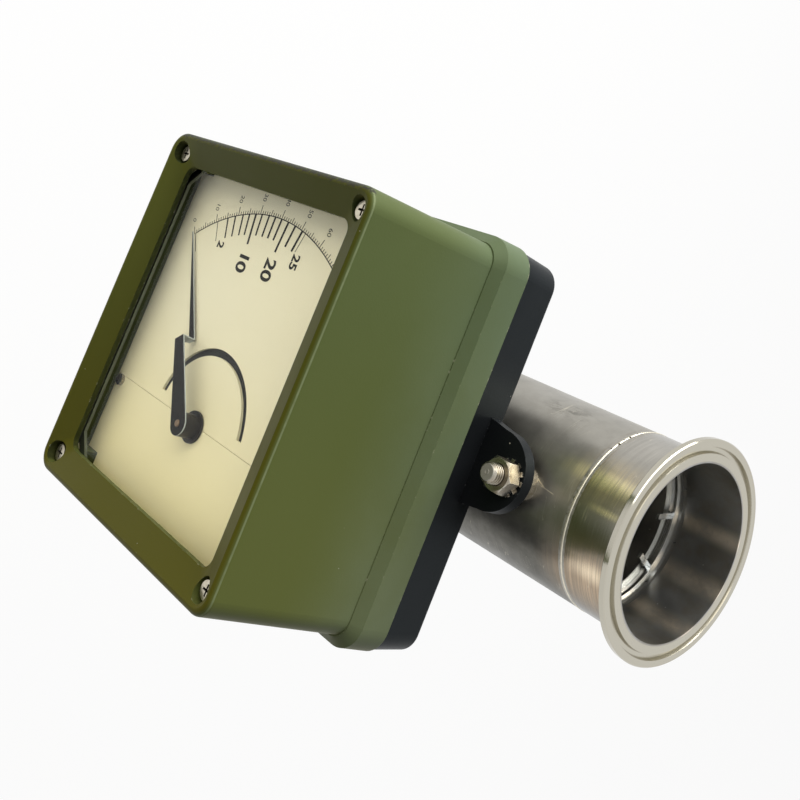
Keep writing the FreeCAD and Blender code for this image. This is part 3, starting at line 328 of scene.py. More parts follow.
def makeScratches():
    # short thin scratches round the tube, only in some patches
    group, given, out = newGroup("scratches", {"Scale": 60.0, "Width": 0.006, "Share": 0.5}, ("Mask",))
    lines = noise(group, objectPoint(group, hair["stretch"]), given["Scale"], 1.0)
    away = doMath(group, "ABSOLUTE", minus(group, lines, 0.5))
    thin = doMath(group, "DIVIDE", minus(group, given["Width"], away), given["Width"], clamp=True)
    patches = noise(group, objectPoint(group, hair["patchStretch"]), hair["patches"], 2.0)
    kept = ramp(group, doMath(group, "ADD", patches, given["Share"]), *hair["kept"])
    group.links.new(multiply(group, thin, kept), out["Mask"])
    return group


tubePlace = makeTubePlace()
scratches = makeScratches()
edgeWear = makeEdgeWear()
specks = makeSpecks()
grain = makeGrain()
turnedMarks = makeTurnedMarks()


def placed(tree, group, **values):
    node = tree.nodes.new("ShaderNodeGroup")
    node.node_tree = group
    for label, value in values.items():
        node.inputs[label].default_value = value
    return node.outputs


def newFinish(name, color, roughness, metallic=0.0, gloss=0.5):
    material = bpy.data.materials.new(name)
    material.use_nodes = True
    shader = material.node_tree.nodes["Principled BSDF"]
    shader.inputs["Base Color"].default_value = (*color, 1)
    shader.inputs["Roughness"].default_value = roughness
    shader.inputs["Metallic"].default_value = metallic
    shader.inputs["Specular IOR Level"].default_value = gloss
    material.diffuse_color = (*color, 1)
    return material, material.node_tree, shader


def mixColor(tree, factor, first, second):
    node = tree.nodes.new("ShaderNodeMix")
    node.data_type = "RGBA"
    for socket, value in ((node.inputs[6], first), (node.inputs[7], second)):
        if isinstance(value, tuple):
            socket.default_value = (*value, 1)
        else:
            tree.links.new(value, socket)
    tree.links.new(factor, node.inputs[0])
    return node.outputs[2]


def addBump(tree, shader, height, strength, distance):
    node = tree.nodes.new("ShaderNodeBump")
    node.inputs["Strength"].default_value = strength
    node.inputs["Distance"].default_value = distance
    tree.links.new(height, node.inputs["Height"])
    link(tree, node, "Normal", shader, "Normal")


# The cover's olive paint. Places are in millimetres, facings run from -1 to 1.
cover = {
    "side": (0.082, 0.107, 0.037), "sideDeep": (0.074, 0.096, 0.031), "sideLow": (0.095, 0.111, 0.028),
    "front": (0.064, 0.070, 0.009), "frontLow": (0.094, 0.090, 0.008), "frontLit": (0.104, 0.115, 0.020),
    "coolHaze": (0.118, 0.165, 0.116), "coolHazeLow": (0.19, 0.235, 0.165), "end": (0.125, 0.126, 0.036),
    "chip": (0.34, 0.35, 0.24), "rubbed": (0.22, 0.26, 0.14), "shaded": (0.016, 0.018, 0.004),
    "dust": (0.55, 0.52, 0.45), "primer": (0.035, 0.035, 0.028),
    "sideShine": (0.9, 1.0, 0.75), "frontShine": (1.0, 0.9, 0.12),
    "rough": 0.46, "roughness": (0.40, 0.52), "gloss": 0.16, "bump": (0.25, 0.00012),
    "grain": {"Large": 14.0, "Fine": 1100.0}, "specks": {"Scale": 260.0, "Size": 0.07, "Share": 0.05},
    "wear": {"Width": 0.0009, "Break": 420.0, "Amount": 0.45},
    "low": (-70.0, 76.0), "hazeFrom": (-118.0, -52.0), "mottle": 34.0, "mottled": (0.2, 0.75),
    "endFacing": (0.4, 0.9), "endShare": 0.8, "frontFacing": (-0.6, -0.9), "frontFrom": (-112.0, -125.0),
    "litEnd": (100.0, 78.0), "litSide": (75.0, -60.0), "flatFacing": (-0.88, -0.95),
    "roundFacing": (-0.42, 0.2), "roundFrom": (-141.5, -143.0), "roundUp": (0.1, 0.4),
    "rubs": 260.0, "rubShare": (0.2, 1.1),
    "wallFacing": (0.3, 0.7), "wallBelow": (110.0, 100.0), "wallShare": 0.8,
    "wornEdge": (-79.3, -80.6), "wornFront": (-142.5, -144.5), "wornRough": 1.6, "wornNoise": 420.0,
    "primerNoise": 900.0, "primerFrom": (0.36, 0.5),
}


def rubbedEdge(tree):
    # the front edge on the dial's left, rubbed through to the dark primer
    rough = spread(tree, noise(tree, objectPoint(tree), cover["wornNoise"], 4.0), -cover["wornRough"],
                   cover["wornRough"])
    side = ramp(tree, doMath(tree, "ADD", millimetres(tree, "X"), rough), *cover["wornEdge"])
    front = ramp(tree, doMath(tree, "ADD", millimetres(tree, "Y"), rough), *cover["wornFront"])
    spots = ramp(tree, noise(tree, objectPoint(tree), cover["primerNoise"], 3.0), *cover["primerFrom"])
    return multiply(tree, multiply(tree, side, front), spots)


def coverPaint():
    material, tree, shader = newFinish("olive_paint", cover["side"], cover["rough"], gloss=cover["gloss"])
    surface = placed(tree, grain, **cover["grain"])
    worn = placed(tree, edgeWear, **cover["wear"])
    dust = placed(tree, specks, **cover["specks"])
    across, back, up = (millimetres(tree, axis) for axis in "XYZ")
    facingX, facingY, facingZ = (facing(tree, axis) for axis in "XYZ")
    low = ramp(tree, across, *cover["low"])
    color = mixColor(tree, surface["Blotch"], cover["side"], cover["sideDeep"])
    color = mixColor(tree, low, color, cover["sideLow"])
    # painted cool haze of reflected light: paler and bluer towards the rim, warmer at the dial's right
    mottled = spread(tree, noise(tree, objectPoint(tree), cover["mottle"], 4.0), *cover["mottled"])
    coolHaze = multiply(tree, ramp(tree, back, *cover["hazeFrom"]), mottled)
    color = mixColor(tree, coolHaze, color, mixColor(tree, low, cover["coolHaze"], cover["coolHazeLow"]))
    # painted light: the faces turned to the dial's right get a lighter, yellower tone by which way they face
    end = multiply(tree, ramp(tree, facingX, *cover["endFacing"]), cover["endShare"])
    color = mixColor(tree, end, color, cover["end"])
    # the bezel: painted shade makes it darker and warmer than the sides, painted light makes it lighter
    # towards the dial's right, and a painted pool of light lies at the dial's lower left
    atFront = ramp(tree, back, *cover["frontFrom"])
    front = multiply(tree, ramp(tree, facingY, *cover["frontFacing"]), atFront)
    lit = multiply(tree, ramp(tree, up, *cover["litEnd"]), ramp(tree, across, *cover["litSide"]))
    bezel = mixColor(tree, lit, mixColor(tree, low, cover["front"], cover["frontLow"]), cover["frontLit"])
    color = mixColor(tree, front, color, bezel)
    # the front edge's rounding on the dial's upper side, pale: partly rubbed paint, partly a painted
    # highlight line
    rubs = spread(tree, noise(tree, objectPoint(tree), cover["rubs"], 4.0), *cover["rubShare"])
    rounding = band(tree, facingY, *cover["roundFacing"])
    rounding = multiply(tree, rounding, ramp(tree, back, *cover["roundFrom"]))
    rubbed = multiply(tree, multiply(tree, rounding, rubs), ramp(tree, facingZ, *cover["roundUp"]))
    color = mixColor(tree, rubbed, color, cover["rubbed"])
    # painted reflection colour: reflections are tinted yellow on the flat bezel and pale green elsewhere, by
    # which way the face points
    flat = ramp(tree, facingY, *cover["flatFacing"])
    shine = mixColor(tree, flat, cover["sideShine"], cover["frontShine"])
    tree.links.new(shine, shader.inputs["Specular Tint"])
    # the shaded wall inside the bezel at the dial's lower end
    wall = multiply(tree, ramp(tree, facingZ, *cover["wallFacing"]), ramp(tree, up, *cover["wallBelow"]))
    shaded = multiply(tree, multiply(tree, wall, atFront), cover["wallShare"])
    color = mixColor(tree, shaded, color, cover["shaded"])
    color = mixColor(tree, worn["Mask"], color, cover["chip"])
    color = mixColor(tree, dust["Mask"], color, cover["dust"])
    color = mixColor(tree, rubbedEdge(tree), color, cover["primer"])
    tree.links.new(color, shader.inputs["Base Color"])
    tree.links.new(spread(tree, surface["Blotch"], *cover["roughness"]), shader.inputs["Roughness"])
    addBump(tree, shader, surface["Height"], *cover["bump"])
    return material


base = {
    "black": (0.007, 0.008, 0.009), "blackPale": (0.012, 0.013, 0.015), "worn": (0.07, 0.075, 0.08),
    "dust": (0.55, 0.52, 0.45), "shine": (0.6, 0.9, 1.0),
    "rough": 0.38, "roughness": (0.30, 0.45), "gloss": 0.10,
    "grain": {"Large": 22.0, "Fine": 1500.0}, "wear": {"Width": 0.0008, "Break": 500.0, "Amount": 0.55},
    "specks": {"Scale": 240.0, "Size": 0.10, "Share": 0.10}, "bump": (0.3, 0.00015),
}


def basePaint():
    material, tree, shader = newFinish("black_paint", base["black"], base["rough"], gloss=base["gloss"])
    surface = placed(tree, grain, **base["grain"])
    worn = placed(tree, edgeWear, **base["wear"])
    dust = placed(tree, specks, **base["specks"])
    color = mixColor(tree, surface["Blotch"], base["black"], base["blackPale"])
    color = mixColor(tree, worn["Mask"], color, base["worn"])
    color = mixColor(tree, dust["Mask"], color, base["dust"])
    tree.links.new(color, shader.inputs["Base Color"])
    tree.links.new(spread(tree, surface["Blotch"], *base["roughness"]), shader.inputs["Roughness"])
    shader.inputs["Specular Tint"].default_value = (*base["shine"], 1)
    addBump(tree, shader, surface["Height"], *base["bump"])
    return material


# The steels' colours
steel = {
    "plain": (0.30, 0.285, 0.25), "pale": (0.42, 0.405, 0.365), "dark": (0.085, 0.083, 0.07),
    "dull": (0.19, 0.18, 0.155), "gold": (0.60, 0.50, 0.31), "copper": (0.52, 0.40, 0.28),
    "heat": (0.19, 0.14, 0.08), "face": (0.50, 0.475, 0.40), "glint": (1.0, 0.88, 0.52),
    "glow": (0.92, 0.77, 0.56), "olive": (0.15, 0.152, 0.108), "light": (0.54, 0.52, 0.47),
    "line": (0.74, 0.69, 0.56), "inner": (0.36, 0.355, 0.33), "bright": (0.90, 0.93, 0.94),
    "speck": (0.9, 0.9, 0.88), "bore": (0.33, 0.33, 0.325), "brown": (0.86, 0.76, 0.62),
    "pit": (0.02, 0.017, 0.013),
}
# The tube's marks. A place is degrees round and how far it reaches, then millimetres up and how far.
tube = {
    "rough": 0.3, "roughness": (0.28, 0.44), "bump": (0.13, 0.00006),
    "marks": {"Pitch": 1600.0, "Drift": 26.0}, "grain": {"Large": 55.0, "Fine": 900.0},
    "hairs": {"Scale": 70.0, "Width": 0.005, "Share": 0.52}, "hairShare": 0.45,
    "specks": {"Scale": 520.0, "Size": 0.14, "Share": 0.5},
    "outside": (36.4, 36.9), "middle": 150.0, "faceFrom": 147.4,
    "clouds": 95.0, "cloudFrom": (0.36, 0.66), "dullShare": 0.28,
    "shadeSide": (-18, 74, 0.45), "shadeShare": (0.80, 0.95),
    "brushed": (0.36, 0.62), "brushedShare": (0.6, 1.0),
    # painted reflections along the ferrule: each band's colour, share and place
    "reflectionBands": (
        ("light", 0.6, (-146, 26, 284, 22)), ("gold", 0.85, (-111, 24, 282, 26)),
        ("olive", 0.85, (-81, 14, 286, 30)), ("copper", 1.0, (-54, 36, 284, 28)),
        ("glint", 1.0, (-112.5, 8, 281, 28)), ("glint", 0.8, (-96.5, 3.4, 287, 12)),
        ("glow", 0.9, (-61, 9, 287, 17))),
    "welds": (27.5, 272.5), "heatReach": (3.6, 0.6), "heatShare": (0.0, 0.4),
    "necks": (5.6, 294.4), "neckReach": (0.7, 0.2), "neckShare": 0.75,
    "wornPatch": (-150, 13, 241, 20), "wornShare": 0.55,
    "flakeStretch": (1.0, 1.0, 0.4), "flakes": 330.0, "flakeFrom": (0.46, 0.62),
    "scratches": (
        (-94.5, 0.5, 255, 3.4, 0.64), (-92.6, 0.4, 259, 4.2, 0.15), (-96.5, 0.35, 247, 2.4, 0.9)),
    "boreBands": ((104, 9), (71, 10), (36, 12)), "streakShare": (0.5, 1.0),
    "boreSpecks": ((72, 14, 283, 7), (40, 12, 283, 5)),
    "polishFrom": (123.4, 124.2), "polished": 0.62, "rimEdge": (43.6, 44.4), "rimRough": 0.5,
    "lineShare": 0.35,
}


def nearest(tree, value, places):
    away = [doMath(tree, "ABSOLUTE", minus(tree, value, place)) for place in places]
    return doMath(tree, "MINIMUM", *away)


def patch(tree, at, around, aroundReach, height, heightReach, slope=0.0, core=0.3):
    # a soft spot on the tube; its slope is degrees round for each millimetre up
    turned = at["Around"]
    if slope:
        turned = minus(tree, turned, multiply(tree, minus(tree, at["Height"], height), slope))
    return multiply(tree, band(tree, turned, around, aroundReach, core),
                    band(tree, at["Height"], height, heightReach, core))


def allOf(tree, masks):
    total = masks[0]
    for mask in masks[1:]:
        total = doMath(tree, "MAXIMUM", total, mask)
    return total


def boreColor(tree, at, cloud):
    # the bore: darker, with brown streaks along it and a few bright specks
    dust = placed(tree, specks, **tube["specks"])
    streaks = allOf(tree, [band(tree, at["Around"], *place, core=0.0) for place in tube["boreBands"]])
    streaks = multiply(tree, streaks, spread(tree, cloud, *tube["streakShare"]))
    inner = mixColor(tree, cloud, steel["bore"], steel["plain"])
    inner = mixColor(tree, streaks, inner, steel["brown"])
    spots = allOf(tree, [patch(tree, at, *place, core=0.7) for place in tube["boreSpecks"]])
    return mixColor(tree, multiply(tree, spots, dust["Mask"]), inner, steel["speck"])


def tubeSteel():
    material, tree, shader = newFinish("tube_steel", steel["plain"], tube["rough"], 1.0)
    at = placed(tree, tubePlace)
    marks = placed(tree, turnedMarks, **tube["marks"])
    surface = placed(tree, grain, **tube["grain"])
    hairs = placed(tree, scratches, **tube["hairs"])
    outer = ramp(tree, at["Radius"], *tube["outside"])
    cloud = ramp(tree, noise(tree, objectPoint(tree), tube["clouds"], 4.0, 0.65), *tube["cloudFrom"])
    color = mixColor(tree, marks["Cloud"], steel["plain"], steel["pale"])
    color = mixColor(tree, multiply(tree, cloud, tube["dullShare"]), color, steel["dull"])
    # painted shade: the side next to the housing's right, darkened and mottled
    side = band(tree, at["Around"], *tube["shadeSide"])
    side = multiply(tree, side, spread(tree, cloud, *tube["shadeShare"]))
    color = mixColor(tree, side, color, steel["dark"])
    # painted reflections: bright, gold, olive and copper bands and glints along the ferrule, broken by fine
    # brushed lines
    brushed = spread(tree, ramp(tree, marks["Lines"], *tube["brushed"]), *tube["brushedShare"])
    for tint, share, place in tube["reflectionBands"]:
        reflectedBand = multiply(tree, patch(tree, at, *place, core=0.0), brushed)
        color = mixColor(tree, multiply(tree, reflectedBand, share), color, steel[tint])
    weldAway = nearest(tree, at["Height"], tube["welds"])
    heat = ramp(tree, weldAway, *tube["heatReach"])
    heat = multiply(tree, heat, spread(tree, cloud, *tube["heatShare"]))
    color = mixColor(tree, heat, color, steel["heat"])
    # a thin dark brown line where each ferrule's neck meets its rim, in the heat tint's colour
    neck = ramp(tree, nearest(tree, at["Height"], tube["necks"]), *tube["neckReach"])
    color = mixColor(tree, multiply(tree, neck, tube["neckShare"]), color, steel["heat"])
    # a worn dull patch, then the scratches
    flakes = noise(tree, objectPoint(tree, tube["flakeStretch"]), tube["flakes"], 5.0, 0.7)
    worn = patch(tree, at, *tube["wornPatch"], core=0.0)
    worn = multiply(tree, worn, ramp(tree, flakes, *tube["flakeFrom"]))
    color = mixColor(tree, multiply(tree, worn, tube["wornShare"]), color, steel["dark"])
    cuts = allOf(tree, [patch(tree, at, *place, core=0.6) for place in tube["scratches"]])
    cuts = doMath(tree, "MAXIMUM", cuts, multiply(tree, hairs["Mask"], tube["hairShare"]))
    color = mixColor(tree, cuts, color, steel["line"])
    fromMiddle = doMath(tree, "ABSOLUTE", minus(tree, at["Height"], tube["middle"]))
    face = doMath(tree, "GREATER_THAN", fromMiddle, tube["faceFrom"])
    color = mixColor(tree, face, color, steel["face"])
    color = mixColor(tree, outer, boreColor(tree, at, cloud), color)
    tree.links.new(color, shader.inputs["Base Color"])
    # smoother on the ferrules and smoothest on the rims' edges
    polish = multiply(tree, ramp(tree, fromMiddle, *tube["polishFrom"]), outer)
    blotches = multiply(tree, surface["Blotch"], 1 - tube["lineShare"])
    mixed = doMath(tree, "MULTIPLY_ADD", marks["Lines"], tube["lineShare"], blotches)
    rimEdge = ramp(tree, at["Radius"], *tube["rimEdge"])
    rough = spread(tree, mixed, *tube["roughness"])
    rough = multiply(tree, rough, spread(tree, polish, 1.0, tube["polished"]))
    rough = multiply(tree, rough, spread(tree, rimEdge, 1.0, tube["rimRough"]))
    tree.links.new(rough, shader.inputs["Roughness"])
    addBump(tree, shader, marks["Lines"], *tube["bump"])
    return material


# A pit is degrees round, millimetres up and its radius.
weld = {
    "rough": 0.3, "roughness": (0.26, 0.48), "bump": (0.35, 0.00012),
    "grain": {"Large": 700.0, "Fine": 2600.0},
    "waves": 260.0, "wave": 0.3, "seam": (0.62, 0.3), "seamShare": (1.0, 0.7),
    "pits": ((-133, 272.3, 0.55), (-139, 272.9, 0.7), (-144, 272.4, 0.4), (-149, 272.8, 0.65),
             (-156, 272.3, 0.5)),
    "perDegree": 0.66, "pitCore": 0.6, "pitDepth": 3.0,
}


def weldSteel():
    # a thin seam painted bright as a highlight, with small dark pits, brown at its sides and inside
    material, tree, shader = newFinish("weld_steel", steel["line"], weld["rough"], 1.0)
    at = placed(tree, tubePlace)
    surface = placed(tree, grain, **weld["grain"])
    away = nearest(tree, at["Height"], tube["welds"])
    wave = spread(tree, noise(tree, objectPoint(tree), weld["waves"], 2.0), -weld["wave"], weld["wave"])
    seam = ramp(tree, doMath(tree, "ADD", away, wave), *weld["seam"])
    color = mixColor(tree, surface["Blotch"], steel["plain"], steel["pale"])
    # painted highlight: the seam's bright line
    shining = multiply(tree, seam, spread(tree, surface["Blotch"], *weld["seamShare"]))
    color = mixColor(tree, shining, color, steel["line"])
    holes = []
    for around, height, radius in weld["pits"]:
        across = multiply(tree, minus(tree, at["Around"], around), weld["perDegree"])
        up = minus(tree, at["Height"], height)
        square = doMath(tree, "MULTIPLY_ADD", across, across, multiply(tree, up, up))
        holes.append(ramp(tree, doMath(tree, "SQRT", square), radius, radius * weld["pitCore"]))
    pits = allOf(tree, holes)
    color = mixColor(tree, pits, color, steel["pit"])
    inner = mixColor(tree, surface["Blotch"], steel["bore"], steel["plain"])
    outer = ramp(tree, at["Radius"], *tube["outside"])
    tree.links.new(mixColor(tree, outer, inner, color), shader.inputs["Base Color"])
    tree.links.new(spread(tree, surface["Blotch"], *weld["roughness"]), shader.inputs["Roughness"])
    sunk = minus(tree, surface["Height"], multiply(tree, pits, weld["pitDepth"]))
    addBump(tree, shader, sunk, *weld["bump"])
    return material


def ringSteel():
    material, tree, shader = newFinish("ring_steel", steel["bright"], 0.25, 1.0)
    marks = placed(tree, turnedMarks, Pitch=2600.0, Drift=60.0)
    color = mixColor(tree, marks["Cloud"], steel["bright"], steel["inner"])
    tree.links.new(color, shader.inputs["Base Color"])
    tree.links.new(spread(tree, marks["Lines"], 0.16, 0.36), shader.inputs["Roughness"])
    addBump(tree, shader, marks["Lines"], 0.2, 0.00006)
    return material


def insertSteel():
    material, tree, shader = newFinish("insert_steel", steel["inner"], 0.3, 1.0)
    surface = placed(tree, grain, Large=60.0, Fine=1800.0)
    color = mixColor(tree, surface["Blotch"], steel["inner"], steel["pale"])
    tree.links.new(color, shader.inputs["Base Color"])
    tree.links.new(spread(tree, surface["Blotch"], 0.22, 0.4), shader.inputs["Roughness"])
    addBump(tree, shader, surface["Height"], 0.15, 0.00008)
    return material


fastener = {
    "first": (0.42, 0.39, 0.33), "light": (0.44, 0.41, 0.35), "dark": (0.24, 0.205, 0.15),
    "rubbed": (0.85, 0.82, 0.76), "sawn": (0.30, 0.285, 0.25), "sawnReach": (0.4, 0.5), "sawnRough": 0.62,
    "tip": -61.0, "rough": 0.28, "roughness": (0.2, 0.36), "bump": (0.2, 0.00006),
    "grain": {"Large": 260.0, "Fine": 2500.0}, "wear": {"Width": 0.0004, "Break": 900.0, "Amount": 1.0},
}


def fastenerSteel():
    # nuts and studs with bright edges, and the studs' dull sawn ends
    material, tree, shader = newFinish("fastener_steel", fastener["first"], fastener["rough"], 1.0)
    surface = placed(tree, grain, **fastener["grain"])
    worn = placed(tree, edgeWear, **fastener["wear"])
    color = mixColor(tree, surface["Blotch"], fastener["light"], fastener["dark"])
    color = mixColor(tree, worn["Mask"], color, fastener["rubbed"])
    sawn = band(tree, millimetres(tree, "Y"), fastener["tip"], *fastener["sawnReach"])
    tree.links.new(mixColor(tree, sawn, color, fastener["sawn"]), shader.inputs["Base Color"])
    rough = spread(tree, surface["Blotch"], *fastener["roughness"])
    rough = doMath(tree, "MAXIMUM", rough, multiply(tree, sawn, fastener["sawnRough"]))
    tree.links.new(rough, shader.inputs["Roughness"])
    addBump(tree, shader, surface["Height"], *fastener["bump"])
    return material


screw = {
    "bright": (0.74, 0.69, 0.56), "worn": (0.48, 0.43, 0.33), "recessShade": (0.05, 0.045, 0.035),
    "recess": (-142.0, -141.5), "rough": 0.28, "bump": (0.15, 0.00005),
    "grain": {"Large": 500.0, "Fine": 2500.0},
}


def screwSteel():
    # bright heads with painted shade in their cross recesses and on their sides below the top
    material, tree, shader = newFinish("screw_steel", screw["bright"], screw["rough"], 1.0)
    surface = placed(tree, grain, **screw["grain"])
    deep = ramp(tree, millimetres(tree, "Y"), *screw["recess"])
    color = mixColor(tree, surface["Blotch"], screw["bright"], screw["worn"])
    tree.links.new(mixColor(tree, deep, color, screw["recessShade"]), shader.inputs["Base Color"])
    addBump(tree, shader, surface["Height"], *screw["bump"])
    return material


plain = {"large": 40.0, "fine": 1500.0, "smoother": 0.05, "rougher": 0.07, "bump": (0.12, 0.0001)}


def plainFinish(name, color, other, roughness, metallic=0.0, gloss=0.5):
    material, tree, shader = newFinish(name, color, roughness, metallic, gloss)
    surface = placed(tree, grain, Large=plain["large"], Fine=plain["fine"])
    tree.links.new(mixColor(tree, surface["Blotch"], color, other), shader.inputs["Base Color"])
    rough = spread(tree, surface["Blotch"], roughness - plain["smoother"], roughness + plain["rougher"])
    tree.links.new(rough, shader.inputs["Roughness"])
    addBump(tree, shader, surface["Height"], *plain["bump"])
    return material


window = {
    "tint": (0.97, 0.985, 0.975), "shadow": (0.95, 0.96, 0.94), "rough": 0.01, "bend": 1.18,
    "shine": (0.2, 0.2, 0.2),
}


def windowGlass():
    # clear glass that lets the lamps through to the dial
    material, tree, shader = newFinish("clear_glass", window["tint"], window["rough"])
    shader.inputs["Specular Tint"].default_value = (*window["shine"], 1)
    shader.inputs["Transmission Weight"].default_value = 1.0
    shader.inputs["IOR"].default_value = window["bend"]
    clear = tree.nodes.new("ShaderNodeBsdfTransparent")
    clear.inputs["Color"].default_value = (*window["shadow"], 1)
    seen = tree.nodes.new("ShaderNodeLightPath")
    mix = tree.nodes.new("ShaderNodeMixShader")
    link(tree, seen, "Is Shadow Ray", mix, "Fac")
    link(tree, shader, "BSDF", mix, 1)
    link(tree, clear, "BSDF", mix, 2)
    link(tree, mix, "Shader", tree.nodes["Material Output"], "Surface")
    return material


sheet = {
    "black": (0.008, 0.008, 0.009), "blackWarm": (0.016, 0.014, 0.012), "cut": (0.42, 0.45, 0.44),
    "cutFacing": (0.5, 0.2), "rough": 0.3, "gloss": 0.03, "bump": (0.12, 0.0001),
    "grain": {"Large": 60.0, "Fine": 1500.0},
}


def cutSheet():
    # the pointer's black painted sheet, pale along its edges, where the faces turn away from the dial's
    # front and back
    material, tree, shader = newFinish("pointer_black", sheet["black"], sheet["rough"], gloss=sheet["gloss"])
    surface = placed(tree, grain, **sheet["grain"])
    edge = ramp(tree, doMath(tree, "ABSOLUTE", facing(tree, "Y")), *sheet["cutFacing"])
    color = mixColor(tree, surface["Blotch"], sheet["black"], sheet["blackWarm"])
    tree.links.new(mixColor(tree, edge, color, sheet["cut"]), shader.inputs["Base Color"])
    addBump(tree, shader, surface["Height"], *sheet["bump"])
    return material


cream = {
    "first": (0.79, 0.72, 0.50), "light": (0.80, 0.74, 0.54), "deep": (0.76, 0.69, 0.48),
    "yellowed": (0.79, 0.69, 0.38), "yellowFrom": (-0.02, 0.075), "dust": (0.42, 0.36, 0.24),
    "rough": 0.5, "gloss": 0.3, "bump": (0.05, 0.00005), "grain": {"Large": 9.0, "Fine": 1600.0},
    "specks": {"Scale": 420.0, "Size": 0.06, "Share": 0.04},
}


def dialCream():
    # cream dial plates, yellowed towards the dial's right
    material, tree, shader = newFinish("dial_cream", cream["first"], cream["rough"], gloss=cream["gloss"])
    surface = placed(tree, grain, **cream["grain"])
    dust = placed(tree, specks, **cream["specks"])
    color = mixColor(tree, surface["Blotch"], cream["light"], cream["deep"])
    yellow = ramp(tree, coordinates(tree, "Object")["X"], *cream["yellowFrom"])
    color = mixColor(tree, yellow, color, cream["yellowed"])
    tree.links.new(mixColor(tree, dust["Mask"], color, cream["dust"]), shader.inputs["Base Color"])
    addBump(tree, shader, surface["Height"], *cream["bump"])
    return material


finishes = {
    "tube": tubeSteel(), "weld": weldSteel(), "ring": ringSteel(), "insert": insertSteel(),
    "fastener": fastenerSteel(), "screw": screwSteel(), "cover": coverPaint(), "base": basePaint(),
    "glass": windowGlass(), "dial": dialCream(), "pointer": cutSheet(),
    "magnet": plainFinish("magnet_black", (0.05, 0.05, 0.055), (0.09, 0.085, 0.08), 0.5, 0.6),
    "rubber": plainFinish("seal_rubber", (0.02, 0.02, 0.02), (0.035, 0.035, 0.035), 0.7),
    "retainer": plainFinish("retainer_paint", (0.085, 0.095, 0.065), (0.07, 0.08, 0.055), 0.45),
    "carrier": plainFinish("carrier_black", (0.012, 0.012, 0.012), (0.02, 0.02, 0.02), 0.5, gloss=0.2),
    "aluminium": plainFinish("movement_aluminium", (0.55, 0.55, 0.54), (0.45, 0.45, 0.45), 0.35, 1.0),
    "brass": plainFinish("bearing_brass", (0.62, 0.44, 0.18), (0.5, 0.33, 0.13), 0.3, 1.0),
    "hub": plainFinish("hub_black", (0.010, 0.009, 0.008), (0.022, 0.017, 0.012), 0.35, gloss=0.2),
    "shaft": plainFinish("shaft_bronze", (0.24, 0.16, 0.10), (0.12, 0.08, 0.05), 0.4, 1.0),
    "print": plainFinish("print_black", (0.012, 0.011, 0.010), (0.025, 0.022, 0.018), 0.6, gloss=0.1),
}
nodeFinishes = {
    "tube": ("measuring_tube", "inlet_ferrule", "outlet_ferrule"),
    "weld": ("inlet_weld", "outlet_weld"),
    "ring": ("lower_stop_ring", "upper_stop_ring"),
    "insert": ("lower_guide", "upper_guide", "metering_cone", "float_body", "float_magnet_can", "float_rod",
               "float_nut", "float_stop_collar", "damper_yoke"),
    "fastener": ("upper_stud", "lower_stud", "upper_tooth_washer", "lower_tooth_washer", "upper_nut",
                 "lower_nut", "dial_screws"),
    "screw": ("cover_screws",), "cover": ("cover",), "base": ("housing_base",), "glass": ("window_glass",),
    "dial": ("dial_scale_plate", "dial_name_plate"),
    "magnet": ("damper_magnets", "float_magnet", "follower_magnet"),
    "rubber": ("base_gasket", "window_gasket"),
    "retainer": ("glass_retainer",), "carrier": ("dial_carrier",),
    "aluminium": ("carrier_posts", "movement_front_plate", "movement_rear_plate", "movement_pillars",
                  "damper_disc", "follower_arm"),
    "brass": ("front_bearing", "rear_bearing", "counterweight"),
    "shaft": ("pointer_shaft",), "pointer": ("pointer",), "hub": ("pointer_hub",),
}


def dressNodes():
    for finish, names in nodeFinishes.items():
        for name in names:
            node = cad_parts[name]
            for slot in node.material_slots:
                slot.material = finishes[finish]
            if not node.material_slots:
                node.data.materials.append(finishes[finish])
    print("finishes set on", len(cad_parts), "nodes")


# The dial's print. Degrees are from the dial's left, upwards positive, about the pointer's pivot.
# A number is degrees, radius, height and the gap between its digits.
dial = {
    "pivot": (32.8, 150.0), "printFront": 126.06,
    "arcRadius": 93.6, "arcWidth": 0.45, "arcFrom": -38.0, "arcTo": 38.0, "arcSpare": 0.3, "arcCorners": 360,
    "tickEnd": 83.8, "longTickEnd": 79.7, "boldWidth": 1.3, "boldGrowth": (0.7, 0.35), "thinWidth": 0.4,
    "ticks": (-23.5, -20.2, -16.8, -14.0, -8.3, -5.1, -2.2, 0.75, 7.3, 10.9), "longTicks": (-11.1, 3.95),
    "thinTicks": ((-28.0, 83.8), (12.5, 84.6)),
    "numbers": {"2": (-25.4, 81.3, 4.6, 1.0), "10": (-11.2, 71.75, 7.0, 0.9),
                "20": (4.3, 71.75, 7.0, 1.0), "25": (14.5, 81.2, 4.8, 1.0)},
    "boldness": 0.04, "capHeight": 0.70, "curveSteps": 4,
    "fineFrom": -38.4, "fineStep": 0.975, "fineCount": 76, "fineWidth": 0.42,
    "fineLong": 4.0, "fineMiddle": 2.6, "fineShort": 1.6,
    "fineNumbers": 8, "fineNumberRadius": 101.0, "fineNumberSize": 2.6,
}


def select(*objects):
    bpy.ops.object.select_all(action="DESELECT")
    for made in objects:
        made.select_set(True)
    bpy.context.view_layer.objects.active = objects[0]


def settle(*objects):
    select(*objects)
    bpy.ops.object.transform_apply(location=True, rotation=True, scale=True)


# The welds, ground nearly flush: radius and level of each corner, in millimetres
bead = {
    "outline": ((36.05, -1.5), (38.05, -1.5), (38.05, -0.45), (38.2, -0.2), (38.2, 0.2), (38.05, 0.45),
                (38.05, 1.5), (36.05, 1.5), (36.05, 0.5), (35.95, 0.2), (35.95, -0.2), (36.05, -0.5)),
    "names": ("inlet_weld", "outlet_weld"), "corners": 256, "smooth": 20,
}


